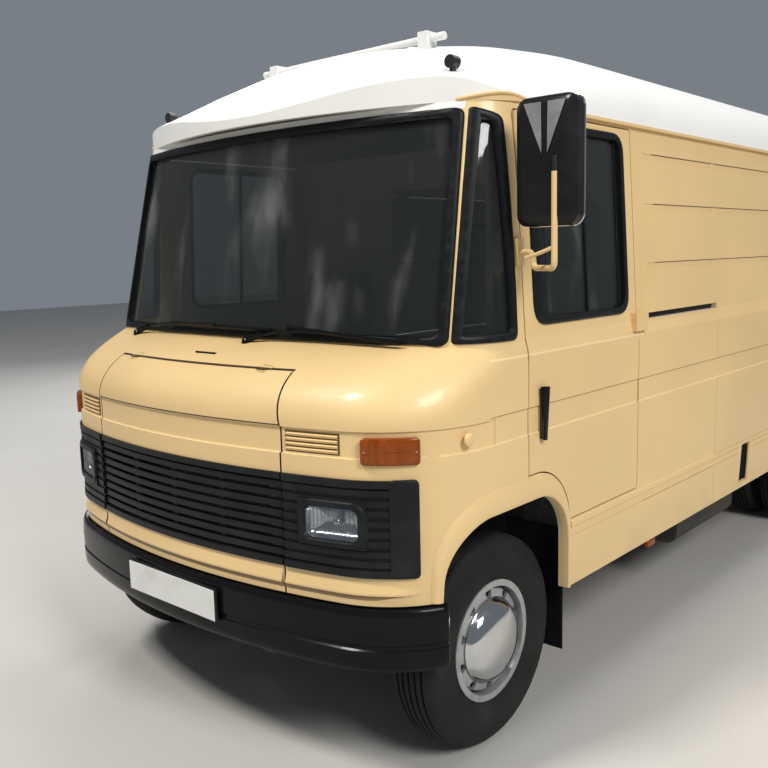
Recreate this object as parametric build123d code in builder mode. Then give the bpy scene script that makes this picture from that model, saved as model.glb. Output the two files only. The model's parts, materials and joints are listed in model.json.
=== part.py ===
from build123d import *
from math import atan2, cos, radians, sin, sqrt
import os

os.makedirs("parts", exist_ok=True)

# Forward-control ice cream van. Millimetres, +Z up, the nose faces -Y, the driver sits on the +X side.
# The origin is on the ground, under the middle of the box round the whole vehicle.

# Overall layout
length = 5800.0
wheelbase = 3500.0
front_overhang = 700.0
body_half_width = 1050.0
nose_y = -length / 2
front_axle_y = nose_y + front_overhang
rear_axle_y = front_axle_y + wheelbase
tail_y = length / 2
wall = 35.0
gap = 5.5
seat_gap = 0.3

# Wheels and tyres
tyre_radius = 385.0
tyre_width = 190.0
bead_radius = 203.0
flange_radius = 220.0
rim_half_width = 78.0
rim_wall = 6.0
front_wheel_x = 863.0
rear_wheel_x = 770.0
twin_pitch = 226.0
drum_radius = 150.0
hub_bore = 24.0
running_clearance = 0.05

# Steering
kingpin_x = 720.0
kingpin_radius = 15.0
steer_arm = 180.0
arm_z = 305.0
rod_radius = 14.0
steering_wheel_x = 520.0
steering_wheel_y = -2150.0
steering_wheel_z = 1330.0
steering_wheel_radius = 215.0
column_tilt = 35.0

# Levels of the body
body_bottom = 508.0
strip_bottom = 662.0
lamp_bottom = 757.0
lamp_top = 1073.0
band_bottom = 1138.0
band_top = 1226.0
crease_z = 1233.0
shoulder_z = 1420.0
belt_z = 1475.0
cowl_z = 1464.0
rail_z = 2262.0
upper_half_width = 990.0
belt_half_width = 1036.0
floor_top = 700.0
floor_thickness = 40.0
cab_floor_top = 760.0

# Stations along the body
cab_back_y = -1240.0
door_front_y = -2135.0
door_back_y = -1292.0
door_bottom = 768.0
joint_y = -450.0
frame_front_y = 2700.0
body_back_y = 2830.0

# Front arch: the opening, the outline of its rim and the wheel house behind it, in Y-Z
arch_points = ((nose_y + 302, 300.0), (nose_y + 340, 905.0), (nose_y + 1028, 905.0), (nose_y + 1028, 300.0))
arch_round = 200.0
rim_points = ((nose_y + 275, 300.0), (nose_y + 310, 990.0), (nose_y + 1048, 990.0), (nose_y + 1048, 300.0))
rim_round = 230.0
rim_inset = 30.0
rim_proud = 8.0
house_points = ((nose_y + 250, 200.0), (nose_y + 294, 921.0), (nose_y + 1162, 921.0), (nose_y + 1162, 200.0))
house_round = 215.0
rear_arch_radius = 455.0

# Plan outline of the nose: front_y, front radius, corner radius, half width
nose_plan = (nose_y + 28, 2910.0, 400.0, body_half_width)

# Crown of the nose, level by level: z, front_y, front radius, corner radius, half width
crown_levels = (
    (band_top, nose_y + 28, 2910.0, 400.0, body_half_width),
    (1290.0, nose_y + 38, 2910.0, 400.0, body_half_width),
    (1391.0, nose_y + 135, 3000.0, 420.0, 1049.0),
    (cowl_z, nose_y + 370, 5880.0, 260.0, belt_half_width),
)
header_level = (rail_z, nose_y + 510, 3540.0, 250.0, upper_half_width)
roof_plan = (nose_y + 446, 2130.0, 250.0, upper_half_width + 10)

# Roof sections: y, crown z, drop from the crown to the shoulder
roof_sections = (
    (nose_y + 440, 2287.0, 10.0),
    (nose_y + 500, 2345.0, 38.0),
    (nose_y + 580, 2405.0, 66.0),
    (nose_y + 700, 2478.0, 100.0),
    (nose_y + 850, 2545.0, 114.0),
    (nose_y + 1050, 2603.0, 130.0),
    (nose_y + 1350, 2655.0, 150.0),
    (nose_y + 1650, 2686.0, 168.0),
    (nose_y + 1950, 2700.0, 185.0),
)
roof_shoulder_x = 800.0
roof_wall = 26.0

# Doors and lids
bonnet_half_width = 537.0
bonnet_top_half_width = 505.0
bonnet_top = 1391.0
bonnet_wall = 26.0
bonnet_hinge_y = nose_y + 170
bonnet_hinge_z = 1397.0
bonnet_hinge_x = 380.0
small_barrel = 7.0
barrel_length = 40.0
tail_half_width = 930.0
tail_bottom = 706.0
tail_top = 2190.0
tail_leaf = 38.0
tail_hinge_x = 936.0
tail_hinge_out = 14.0
tail_barrel = 24.0
tail_hinge_levels = (960.0, 1440.0, 1920.0)
hinge_barrel = 9.0
hatch_front_y = -560.0
hatch_back_y = 900.0
hatch_bottom = 1252.0
hatch_top = 2120.0
hatch_hinge_out = 10.0
shelf_reach = 1285.0
shelf_z = 1238.0

# Chassis
rail_x = 355.0
rail_width = 65.0
chassis_z = 480.0
chassis_height = 130.0
spring_x = 388.0
spring_width = 62.0


def side_x(z):
    """Half width of the body side at a level."""
    if z <= shoulder_z:
        return body_half_width
    if z <= belt_z:
        share = (z - shoulder_z) / (belt_z - shoulder_z)
        return body_half_width + share * (belt_half_width - body_half_width)
    share = (z - belt_z) / (rail_z - belt_z)
    return belt_half_width + share * (upper_half_width - belt_half_width)


def plan_sketch(level, z, inset=0.0, back_y=cab_back_y):
    """Plan outline at one level: a wide front arc, two corner arcs and straight sides."""
    front_y, front_radius, corner_radius, half_width = level
    y0 = front_y + inset
    big = front_radius - inset
    small = corner_radius - inset
    half = half_width - inset
    corner_x = half - small
    corner_y = y0 + big - sqrt((big - small) ** 2 - corner_x ** 2)
    turn = atan2(corner_y - y0 - big, corner_x)
    touch_x = big * cos(turn)
    touch_y = y0 + big + big * sin(turn)
    mid_x = corner_x + small * cos(turn / 2)
    mid_y = corner_y + small * sin(turn / 2)
    with BuildSketch(Plane.XY.offset(z)) as sketch:
        with BuildLine():
            Line((-half, back_y), (-half, corner_y))
            ThreePointArc((-half, corner_y), (-mid_x, mid_y), (-touch_x, touch_y))
            ThreePointArc((-touch_x, touch_y), (0, y0), (touch_x, touch_y))
            ThreePointArc((touch_x, touch_y), (mid_x, mid_y), (half, corner_y))
            Line((half, corner_y), (half, back_y))
            Line((half, back_y), (-half, back_y))
        make_face()
    return sketch.sketch


def nose_block(inset, drop=0.0, bottom=body_bottom, top=rail_z, back_y=cab_back_y):
    """The whole cab as a block: straight nose, crowned top and the raked upper body."""
    with BuildPart() as block:
        extrude(plan_sketch(nose_plan, bottom, inset, back_y), amount=band_top - drop - bottom)
        crown = [plan_sketch(row[1:], row[0] - drop, inset, back_y) for row in crown_levels]
        loft(crown)
        upper = [
            plan_sketch(crown_levels[-1][1:], cowl_z - drop, inset, back_y),
            plan_sketch(header_level[1:], top, inset, back_y),
        ]
        loft(upper, ruled=True)
    return block.part


def body_section(inset=0.0, bottom=body_bottom, top=rail_z):
    """Cross-section of the body, seen along its length."""
    with BuildSketch(Plane.XZ) as sketch:
        with BuildLine():
            Polyline(
                (-body_half_width + inset, bottom),
                (body_half_width - inset, bottom),
                (body_half_width - inset, shoulder_z),
                (belt_half_width - inset, belt_z),
                (upper_half_width - inset, top),
                (-upper_half_width + inset, top),
                (-belt_half_width + inset, belt_z),
                (-body_half_width + inset, shoulder_z),
                close=True,
            )
        make_face()
    return sketch.sketch


def body_block(front_y, back_y, inset=0.0, bottom=body_bottom, top=rail_z):
    """A length of the load body as a block."""
    with BuildPart() as block:
        extrude(body_section(inset, bottom, top).moved(Location((0, back_y, 0))), amount=back_y - front_y)
    return block.part


def front_prism(points, radius, front_y, back_y, grow=0.0):
    """A prism seen from the front: X-Z points, corners rounded, from front_y to back_y."""
    with BuildPart() as prism:
        with BuildSketch(Plane.XZ.offset(-back_y)) as face:
            with BuildLine():
                Polyline(*points, close=True)
            make_face()
            fillet(face.vertices(), radius)
            if grow:
                offset(amount=grow, kind=Kind.INTERSECTION)
        extrude(amount=back_y - front_y)
    return prism.part


def side_prism(points, radius, near_x, far_x, grow=0.0):
    """A prism seen from the side: Y-Z points, corners rounded, from near_x to far_x."""
    with BuildPart() as prism:
        with BuildSketch(Plane.YZ.offset(near_x)) as face:
            with BuildLine():
                Polyline(*points, close=True)
            make_face()
            fillet(face.vertices(), radius)
            if grow:
                offset(amount=grow, kind=Kind.INTERSECTION)
        extrude(amount=far_x - near_x)
    return prism.part


def box_between(low, high):
    """A block between two corners."""
    size = [b - a for a, b in zip(low, high)]
    middle = [(a + b) / 2 for a, b in zip(low, high)]
    with BuildPart() as block:
        with Locations(tuple(middle)):
            Box(*size)
    return block.part


def tube_along(points, radius, bend):
    """A round bar along a path with rounded bends."""
    with BuildPart() as bar:
        with BuildLine() as path:
            FilletPolyline(*points, radius=bend)
        start = path.line ^ 0
        with BuildSketch(start):
            Circle(radius)
        sweep(path=path.line)
    return bar.part


def screen_tool(grow=0.0):
    """Tapered prism of the windscreen opening."""
    faces = []
    for y in (nose_y + 200, nose_y + 740):
        foot = screen_foot[0] + (screen_foot[1] - y) * screen_taper
        head = screen_head[0] + (screen_head[1] - y) * screen_taper
        with BuildSketch(Plane.XZ.offset(-y)) as face:
            with BuildLine():
                Polyline((-foot, screen_bottom), (foot, screen_bottom), (head, screen_top), (-head, screen_top), close=True)
            make_face()
            fillet(face.vertices(), screen_round)
            if grow:
                offset(amount=grow, kind=Kind.INTERSECTION)
        faces.append(face.sketch)
    with BuildPart() as tool:
        loft(faces, ruled=True)
    return tool.part


def corner_tool(side, grow=0.0):
    """Tapered prism of one corner window's opening."""
    faces = []
    for x in (880.0, 1100.0):
        foot = corner_foot[1] + (corner_foot[0] - x) * corner_taper
        head = corner_head[1] + (corner_head[0] - x) * corner_taper
        with BuildSketch(Plane.YZ.offset(side * x)) as face:
            with BuildLine():
                Polyline(
                    (foot, corner_bottom),
                    (corner_back_foot_y, corner_bottom),
                    (corner_back_head_y, corner_top),
                    (head, corner_top),
                    close=True,
                )
            make_face()
            fillet(face.vertices(), corner_round)
            if grow:
                offset(amount=grow, kind=Kind.INTERSECTION)
        faces.append(face.sketch)
    with BuildPart() as tool:
        loft(faces, ruled=True)
    return tool.part


def nose_band(bottom, top, outset, inset, back_y=cab_back_y):
    """A thin band that follows the nose, between two levels, cut square at back_y."""
    with BuildPart() as band:
        extrude(plan_sketch(nose_plan, bottom, -outset), amount=top - bottom)
        extrude(plan_sketch(nose_plan, bottom, inset, cab_back_y + 50), amount=top - bottom, mode=Mode.SUBTRACT)
        add(box_between((-1300, nose_y - 200, bottom - 1), (1300, back_y, top + 1)), mode=Mode.INTERSECT)
    return band.part


# Window outlines: front view in X-Z, side view in Y-Z
# The screen and corner windows are cut along the wall's normal at the pillar, so their tools taper inwards.
screen_bottom = 1472.0
screen_top = 2234.0
screen_foot = (927.0, nose_y + 469)
screen_head = (883.0, nose_y + 636)
screen_taper = 0.714
corner_bottom = 1491.0
corner_top = 2208.0
corner_foot = (957.6, nose_y + 491)
corner_head = (914.0, nose_y + 665)
corner_back_foot_y = nose_y + 708
corner_back_head_y = nose_y + 722
corner_taper = 1.02
door_window_points = (
    (door_front_y + 127, 1513),
    (door_back_y - 78, 1513),
    (door_back_y - 78, 2210),
    (door_front_y + 127, 2210),
)
screen_round = 60.0
corner_round = 9.0
door_round = 70.0
seal_width = 24.0
seal_proud = 5.0
glass_in = 14.0
glass_thickness = 6.0


# Cab shell: nose, cowl, screen pillars, header and door frames
outer_block = nose_block(0)
inner_block = nose_block(wall, drop=24.0, bottom=body_bottom - 20, top=rail_z + 10, back_y=cab_back_y + 20)
screen_cut = screen_tool()
screen_pane_cut = screen_tool(-seal_width)
corner_seal_width = 9.5
bonnet_points = (
    (-bonnet_half_width - gap, strip_bottom - 60),
    (bonnet_half_width + gap, strip_bottom - 60),
    (bonnet_half_width + gap, band_top),
    (bonnet_top_half_width + gap, bonnet_top),
    (-bonnet_top_half_width - gap, bonnet_top),
    (-bonnet_half_width - gap, band_top),
)
bonnet_head = crown_levels[2][1:]


def bonnet_prism(grow):
    """Outline of the bonnet as a prism; its top edge is cut upright along the crown's level line."""
    slope = (bonnet_half_width - bonnet_top_half_width) / (bonnet_top - band_top)
    high = bonnet_top + 60
    high_x = bonnet_top_half_width - slope * 60 + gap
    outline = bonnet_points[:3] + ((high_x, high), (-high_x, high)) + bonnet_points[5:]
    with BuildPart() as prism:
        add(front_prism(outline, 14, nose_y - 100, nose_y + 300, grow=grow))
        extrude(plan_sketch(bonnet_head, 0, gap + grow), amount=3000, mode=Mode.SUBTRACT)
    return prism.part


def hinge_row(barrel_x, half_length, reach_front, reach_back):
    """Hinge barrels on the bonnet's axis, each with a leaf to the sheet beside it."""
    with BuildPart() as row:
        for center_x in barrel_x:
            with Locations(Location((center_x, bonnet_hinge_y, bonnet_hinge_z), (0, 90, 0))):
                Cylinder(small_barrel, 2 * half_length)
            add(box_between(
                (center_x - half_length, bonnet_hinge_y - reach_front, bonnet_hinge_z - 17),
                (center_x + half_length, bonnet_hinge_y + reach_back, bonnet_hinge_z - 1),
            ))
    return row.part


fixed_half = 9.0
fixed_offset = barrel_length / 2 + seat_gap + fixed_half
bonnet_cut = bonnet_prism(0.0)
door_points = (
    (door_front_y, door_bottom),
    (door_back_y, door_bottom),
    (door_back_y, rail_z - 22),
    (door_front_y, rail_z - 22),
)
lamp_panel_back = nose_y + 257
belt_recess = 4.0
nose_belt_front = nose_y + 540


def door_prism(near_x, far_x, grow=0.0):
    """Prism of a cab door; its lower front corner follows the rim of the arch."""
    with BuildPart() as prism:
        add(side_prism(door_points, 20, near_x, far_x, grow=grow))
        add(side_prism(rim_points, rim_round, near_x - 1, far_x + 1, grow=-grow), mode=Mode.SUBTRACT)
    return prism.part


def belt_cut(side, front_y, back_y):
    """The shallow pressed belt below the crease, as a block to take from a side."""
    return box_between(
        (side * (body_half_width + belt_recess) - belt_recess * 2, front_y, band_bottom),
        (side * (body_half_width + belt_recess) + belt_recess * 2, back_y, crease_z),
    )


def arch_flare(side):
    """The raised rim round the front wheel opening, standing proud of the nose."""
    near, far = sorted((side * 900, side * 1100))
    with BuildPart() as flare:
        add(nose_block(-rim_proud, bottom=body_bottom))
        add(nose_block(wall / 2, bottom=body_bottom - 10, back_y=cab_back_y + 10), mode=Mode.SUBTRACT)
        add(side_prism(rim_points, rim_round, near, far, grow=-rim_inset), mode=Mode.INTERSECT)
        add(side_prism(arch_points, arch_round, near, far), mode=Mode.SUBTRACT)
        add(box_between((-1200, nose_y - 100, 0), (1200, front_axle_y - 300, strip_bottom)), mode=Mode.SUBTRACT)
    return flare.part


with BuildPart() as cab_shell:
    add(outer_block)
    add(inner_block, mode=Mode.SUBTRACT)
    add(box_between((-1200, nose_y - 100, 0), (1200, front_axle_y - 300, strip_bottom)), mode=Mode.SUBTRACT)
    add(screen_cut, mode=Mode.SUBTRACT)
    add(bonnet_cut, mode=Mode.SUBTRACT)
    for side in (-1, 1):
        near_x = side * bonnet_hinge_x
        add(box_between(
            (near_x - barrel_length / 2 - seat_gap, bonnet_hinge_y - 16, bonnet_hinge_z - 80),
            (near_x + barrel_length / 2 + seat_gap, bonnet_hinge_y + 14, bonnet_hinge_z + 30),
        ), mode=Mode.SUBTRACT)
        add(hinge_row((near_x - fixed_offset, near_x + fixed_offset), fixed_half, 0, 20))
    for side in (-1, 1):
        add(corner_tool(side), mode=Mode.SUBTRACT)
    for near, far in ((820, 1100), (-1100, -820)):
        add(door_prism(near, far), mode=Mode.SUBTRACT)
        add(side_prism(arch_points, arch_round, near, far), mode=Mode.SUBTRACT)
    add(nose_band(lamp_bottom, lamp_top, 30, wall + 20, lamp_panel_back), mode=Mode.SUBTRACT)
    add(nose_band(band_bottom, band_top, 20, 7, front_axle_y - 130), mode=Mode.SUBTRACT)
    for side in (1, -1):
        add(arch_flare(side))
    for side in (-1, 1):
        add(belt_cut(side, nose_belt_front, door_front_y + 40), mode=Mode.SUBTRACT)
cab_shell.part.label = "cab_shell"


# Sliding cab doors: each one leaf as thick as the wall, with its window cut, a belt recess and a handle
handle_y = door_front_y + 82
roller_bottom = 1434.0
roller_top = 1508.0


def door_roller(side):
    """The carriage at the door's back edge; it bridges the shut line to the rail behind."""
    low_x, high_x = sorted((side * (belt_half_width - 10), side * (body_half_width + 14)))
    with BuildPart() as roller:
        add(box_between((low_x, door_back_y - 55, roller_bottom), (high_x, door_back_y + 45, roller_top)))
        add(body_block(door_back_y - gap, door_back_y + 60, inset=-seat_gap), mode=Mode.SUBTRACT)
    return roller.part


def door_leaf(side):
    near = min(side * 880, side * 1100)
    far = max(side * 880, side * 1100)
    with BuildPart() as leaf:
        add(body_block(door_front_y - 50, door_back_y + 50))
        add(body_block(door_front_y - 60, door_back_y + 60, inset=wall - 3, bottom=0), mode=Mode.SUBTRACT)
        add(door_prism(near, far, grow=-gap), mode=Mode.INTERSECT)
        add(side_prism(door_window_points, door_round, near, far), mode=Mode.SUBTRACT)
        add(belt_cut(side, door_front_y - 50, door_back_y + 50), mode=Mode.SUBTRACT)
        with Locations((side * (body_half_width + 9), handle_y, 1200)):
            Box(18, 26, 170)
        add(door_roller(side))
    return leaf.part


door_leaves = [door_leaf(side) for side in (-1, 1)]
with BuildPart() as cab_doors:
    add(door_leaves)
cab_doors.part.label = "cab_doors"


# Panes: each lies in the middle of its wall, inside a rubber seal
glass_block = nose_block(glass_in, drop=0, bottom=1300)
glass_core = nose_block(glass_in + glass_thickness, drop=0, bottom=1290, top=rail_z + 5, back_y=cab_back_y + 5)
seal_block = nose_block(-seal_proud, drop=0, bottom=1300)
seal_core = nose_block(glass_in + glass_thickness + 8, drop=0, bottom=1290, top=rail_z + 5, back_y=cab_back_y + 5)
pane_block = body_block(door_front_y, door_back_y, inset=glass_in)
pane_core = body_block(door_front_y - 5, door_back_y + 5, inset=glass_in + glass_thickness, bottom=400)
rubber_block = body_block(door_front_y, door_back_y, inset=-seal_proud)
rubber_core = body_block(door_front_y - 5, door_back_y + 5, inset=glass_in + glass_thickness + 8, bottom=400)
sides = ((820, 1100), (-1100, -820))


def window_pane(block, core, outline):
    with BuildPart() as pane:
        add(block)
        add(core, mode=Mode.SUBTRACT)
        add(outline, mode=Mode.INTERSECT)
    return pane.part


def window_seal(block, core, outline, hole):
    with BuildPart() as rubber:
        add(block)
        add(core, mode=Mode.SUBTRACT)
        add(outline, mode=Mode.INTERSECT)
        add(hole, mode=Mode.SUBTRACT)
    return rubber.part


panes = [window_pane(glass_block, glass_core, screen_pane_cut)]
seals = [window_seal(seal_block, seal_core, screen_cut, screen_pane_cut)]
for side in (1, -1):
    hole = corner_tool(side, -corner_seal_width)
    panes.append(window_pane(glass_block, glass_core, hole))
    seals.append(window_seal(seal_block, seal_core, corner_tool(side), hole))
for near, far in sides:
    hole = side_prism(door_window_points, door_round, near, far, grow=-seal_width)
    panes.append(window_pane(pane_block, pane_core, hole))
    seals.append(window_seal(rubber_block, rubber_core, side_prism(door_window_points, door_round, near, far), hole))
with BuildPart() as cab_glass:
    add(panes)
cab_glass.part.label = "cab_glass"
with BuildPart() as window_seals:
    add(seals)
window_seals.part.label = "window_seals"


# Bonnet: a crowned flap with the strip below the grille, joined by posts behind the grille
with BuildPart() as bonnet:
    add(outer_block)
    add(nose_block(bonnet_wall, drop=18.0, bottom=body_bottom - 20), mode=Mode.SUBTRACT)
    add(bonnet_prism(-gap), mode=Mode.INTERSECT)
    add(box_between((-1200, nose_y - 100, 0), (1200, nose_y + 400, strip_bottom)), mode=Mode.SUBTRACT)
    add(nose_band(lamp_bottom, lamp_top, 30, 14), mode=Mode.SUBTRACT)
    with Locations((0, nose_y, (lamp_bottom + lamp_top) / 2)):
        Box(2 * bonnet_half_width - 120, 400, lamp_top - lamp_bottom, mode=Mode.SUBTRACT)
    add(nose_band(band_bottom, band_top, 20, 7), mode=Mode.SUBTRACT)
    add(hinge_row((-bonnet_hinge_x, bonnet_hinge_x), barrel_length / 2, 24, 0))
bonnet.part.label = "bonnet"

# Grille: two rails, posts and slats in front of the bonnet's posts
slat_pitch = 33.0
slat_height = 20.0
slat_count = 8


def band_between(low_x, high_x, bottom, top, outset, inset, back_y=cab_back_y):
    """A stretch of a nose band between two X positions."""
    with BuildPart() as stretch:
        add(nose_band(bottom, top, outset, inset, back_y))
        add(box_between((low_x, nose_y - 50, 0), (high_x, nose_y + 600, 2000)), mode=Mode.INTERSECT)
    return stretch.part


with BuildPart() as grille:
    add(band_between(-bonnet_half_width, bonnet_half_width, lamp_bottom, lamp_bottom + 22, 6, 13.7))
    add(band_between(-bonnet_half_width, bonnet_half_width, lamp_top - 22, lamp_top, 6, 13.7))
    for index in range(slat_count):
        slat_z = lamp_bottom + 34 + index * slat_pitch
        add(band_between(-bonnet_half_width, bonnet_half_width, slat_z, slat_z + slat_height, -1, 13.7))
    for post_x in (-bonnet_half_width + 14, -260, 0, 260, bonnet_half_width - 14):
        add(band_between(post_x - 14, post_x + 14, lamp_bottom, lamp_top, -9, 13.7))
grille.part.label = "grille"

# Side lamp panels: ribbed bands that wrap round the corners and carry the headlamps
lamp_x = 728.0
lamp_z = 925.0
lamp_width = 232.0
lamp_height = 152.0
lamp_back_y = nose_y + 215
lamp_proud = 14.0
panel_inner_x = bonnet_half_width + gap + 5


def lamp_housing(side):
    """The box round one headlamp; its front edge follows the panel's curve."""
    low_x, high_x = sorted((side * (lamp_x - lamp_width / 2), side * (lamp_x + lamp_width / 2)))
    low_z = lamp_z - lamp_height / 2
    with BuildPart() as housing:
        extrude(plan_sketch(nose_plan, low_z, -lamp_proud), amount=lamp_height)
        add(box_between((low_x, nose_y - 50, low_z), (high_x, lamp_back_y, low_z + lamp_height)), mode=Mode.INTERSECT)
    return housing.part


with BuildPart() as lamp_panels:
    for side in (-1, 1):
        low_x = min(side * panel_inner_x, side * 1100)
        high_x = max(side * panel_inner_x, side * 1100)
        inner = wall - 5
        add(band_between(low_x, high_x, lamp_bottom, lamp_top, 2, inner, lamp_panel_back))
        add(band_between(low_x, high_x, lamp_bottom, lamp_bottom + 24, 10, inner, lamp_panel_back))
        add(band_between(low_x, high_x, lamp_top - 24, lamp_top, 10, inner, lamp_panel_back))
        for index in range(slat_count):
            slat_z = lamp_bottom + 34 + index * slat_pitch
            add(band_between(low_x, high_x, slat_z, slat_z + slat_height, 8, inner, lamp_panel_back - 62))
        add(lamp_housing(side))
    for side in (-1, 1):
        with Locations((side * lamp_x, nose_y + 140, lamp_z)):
            Box(lamp_width - 26, 400, lamp_height - 26, mode=Mode.SUBTRACT)
lamp_panels.part.label = "lamp_panels"

lens_y = nose_y + 147
with BuildPart() as headlamps:
    for side in (-1, 1):
        with Locations((side * lamp_x, (lens_y + lamp_back_y) / 2, lamp_z)):
            Box(lamp_width - 26, lamp_back_y - lens_y, lamp_height - 26)
headlamps.part.label = "headlamps"

# Indicators: blocks that wrap the corners in the recessed band, and side markers under the sill
indicator_x = 824.0
indicator_back = nose_y + 268
indicator_bottom = 1122.0
indicator_top = 1208.0
with BuildPart() as indicators:
    for side in (-1, 1):
        low_x, high_x = sorted((side * indicator_x, side * 1100))
        add(band_between(low_x, high_x, band_bottom + 3, indicator_top, 14, 7, indicator_back))
        add(band_between(low_x, high_x, indicator_bottom, band_bottom + 3, 14, -seat_gap, indicator_back))
        with Locations((side * (body_half_width - 12), joint_y - 685, body_bottom - 19)):
            Box(30, 70, 38)
indicators.part.label = "indicators"

# Bumpers: a deep wrap-round channel in front with its brackets and a blank plate
bumper_bottom = 445.0
bumper_top = strip_bottom - 6
bumper_end_y = nose_y + 335
bumper_outset = 28.0
bumper_depth = 45.0
with BuildPart() as front_bumper:
    extrude(plan_sketch(nose_plan, bumper_bottom, -bumper_outset), amount=bumper_top - bumper_bottom)
    extrude(
        plan_sketch(nose_plan, bumper_bottom - 1, bumper_depth - bumper_outset, cab_back_y + 50),
        amount=bumper_top - bumper_bottom + 2,
        mode=Mode.SUBTRACT,
    )
    add(box_between((-1300, nose_y - 200, 0), (1300, bumper_end_y, 2000)), mode=Mode.INTERSECT)
    for side in (-1, 1):
        with Locations((side * (rail_x + rail_width / 2), nose_y + 110, chassis_z + 60)):
            Box(50, 150, 90)
front_bumper.part.label = "front_bumper"

# Roof: one crowned shell lofted over its sections and cut to its plan outline


def roof_block(inset, top_drop):
    sections = []
    for y, crown, drop in roof_sections + ((body_back_y + 5, roof_sections[-1][1], roof_sections[-1][2]),):
        half = upper_half_width + 10 - inset
        shoulder = roof_shoulder_x - inset / 2
        with BuildSketch(Plane.XZ.offset(-y)) as section:
            with BuildLine():
                crown_z = crown - top_drop
                crown_arc = ThreePointArc((-shoulder, crown_z - drop), (0, crown_z), (shoulder, crown_z - drop))
                right = TangentArc((shoulder, crown_z - drop), (half, rail_z), tangent=crown_arc % 1)
                left = TangentArc((-shoulder, crown_z - drop), (-half, rail_z), tangent=-(crown_arc % 0))
                Line((half, rail_z), (-half, rail_z))
            make_face()
        sections.append(section.sketch)
    with BuildPart() as block:
        loft(sections, ruled=True)
    return block.part


def roof_hollow():
    """The room under the roof skin, inset from it on every side."""
    with BuildPart() as hollow:
        add(roof_block(roof_wall, roof_wall))
        extrude(plan_sketch(roof_plan, rail_z - 50, roof_wall, body_back_y - roof_wall), amount=800, mode=Mode.INTERSECT)
    return hollow.part


with BuildPart() as roof_shell:
    add(roof_block(0, 0))
    extrude(plan_sketch(roof_plan, rail_z - 50, 0, body_back_y), amount=800, mode=Mode.INTERSECT)
    add(roof_hollow(), mode=Mode.SUBTRACT)
roof_shell.part.label = "roof_shell"

# Drip rails: a small gutter along each side, just under the roof
drip_front_y = door_front_y + 60
with BuildPart() as drip_rails:
    for side in (-1, 1):
        with Locations((side * (upper_half_width + 9), (drip_front_y + body_back_y) / 2, rail_z - 7)):
            Box(16, body_back_y - drip_front_y, 12)
drip_rails.part.label = "drip_rails"

# Side panels: hollow-backed load body walls with pressed ribs, a sill moulding and the rear arch
rib_levels = (1694.0, 1937.0, 2141.0)
rib_height = 24.0
rib_depth = 3.5
sill_levels = (701.0, 733.0, 758.0)
rear_arch_z = 405.0


def rear_arch(grow, near_x, far_x):
    """Prism of the rear wheel opening."""
    with BuildPart() as prism:
        with BuildSketch(Plane.YZ.offset(near_x)):
            with Locations((rear_axle_y, rear_arch_z)):
                Circle(rear_arch_radius + grow)
        extrude(amount=far_x - near_x)
    return prism.part


def side_wall(side):
    near = min(side * 880, side * 1120)
    far = max(side * 880, side * 1120)
    with BuildPart() as panel:
        add(body_block(cab_back_y, frame_front_y))
        add(body_block(cab_back_y - 10, frame_front_y + 10, inset=wall, bottom=0, top=rail_z + 5), mode=Mode.SUBTRACT)
        add(box_between((near, cab_back_y - 20, 0), (far, frame_front_y + 20, 3000)), mode=Mode.INTERSECT)
        add(belt_cut(side, -length, length), mode=Mode.SUBTRACT)
        for z in sill_levels:
            with Locations((side * (body_half_width - 1.5), 0, z)):
                Box(3, 3 * length, 5, mode=Mode.SUBTRACT)
        for z in rib_levels:
            for front_y, back_y in ((cab_back_y + 60, joint_y - 28), (joint_y + 28, frame_front_y - 60)):
                with Locations((side * side_x(z), (front_y + back_y) / 2, z)):
                    Box(2 * rib_depth, back_y - front_y, rib_height, mode=Mode.SUBTRACT)
        with Locations((side * body_half_width, joint_y, (body_bottom + rail_z) / 2)):
            Box(5, 4, rail_z, mode=Mode.SUBTRACT)
        add(rear_arch(0, near, far), mode=Mode.SUBTRACT)
        add(rear_arch(34, *sorted((side * (body_half_width - 20), side * (body_half_width + 8)))))
        add(rear_arch(0, near, far), mode=Mode.SUBTRACT)
        add(box_between((near, -3000, -200), (far, 3000, body_bottom)), mode=Mode.SUBTRACT)
    return panel.part


slot_front_y = -1180.0
slot_back_y = -440.0
slot_z = 1486.0
filler_y = -45.0
with BuildPart() as side_panel_left:
    add(side_wall(1))
    with Locations((side_x(slot_z), (slot_front_y + slot_back_y) / 2, slot_z)):
        Box(50, slot_back_y - slot_front_y, 26, mode=Mode.SUBTRACT)
    with Locations((body_half_width, filler_y, 637)):
        Box(30, 170, 200, mode=Mode.SUBTRACT)
side_panel_left.part.label = "side_panel_left"

hatch_hinge_x = -side_x(hatch_top) - hatch_hinge_out
hatch_hinge_z = hatch_top + 2
hatch_barrel = 70.0
hatch_fixed = 32.0
hatch_offset = hatch_barrel / 2 + seat_gap + hatch_fixed / 2
hatch_hinge_ys = (hatch_front_y + 200, (hatch_front_y + hatch_back_y) / 2, hatch_back_y - 200)
hatch_points = (
    (hatch_front_y, hatch_bottom),
    (hatch_back_y, hatch_bottom),
    (hatch_back_y, hatch_top),
    (hatch_front_y, hatch_top),
)
with BuildPart() as side_panel_right:
    add(side_wall(-1))
    with Locations((-side_x(slot_z), (slot_front_y + hatch_front_y - 60) / 2, slot_z)):
        Box(50, hatch_front_y - 60 - slot_front_y, 26, mode=Mode.SUBTRACT)
    add(side_prism(hatch_points, 30, -1120, -880), mode=Mode.SUBTRACT)
    for y in hatch_hinge_ys:
        for offset_y in (-hatch_offset, hatch_offset):
            with Locations(Location((hatch_hinge_x, y + offset_y, hatch_hinge_z), (90, 0, 0))):
                Cylinder(hinge_barrel, hatch_fixed)
            add(box_between(
                (hatch_hinge_x - 4, y + offset_y - hatch_fixed / 2, hatch_hinge_z),
                (hatch_hinge_x + 16, y + offset_y + hatch_fixed / 2, hatch_hinge_z + 34),
            ))
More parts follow.
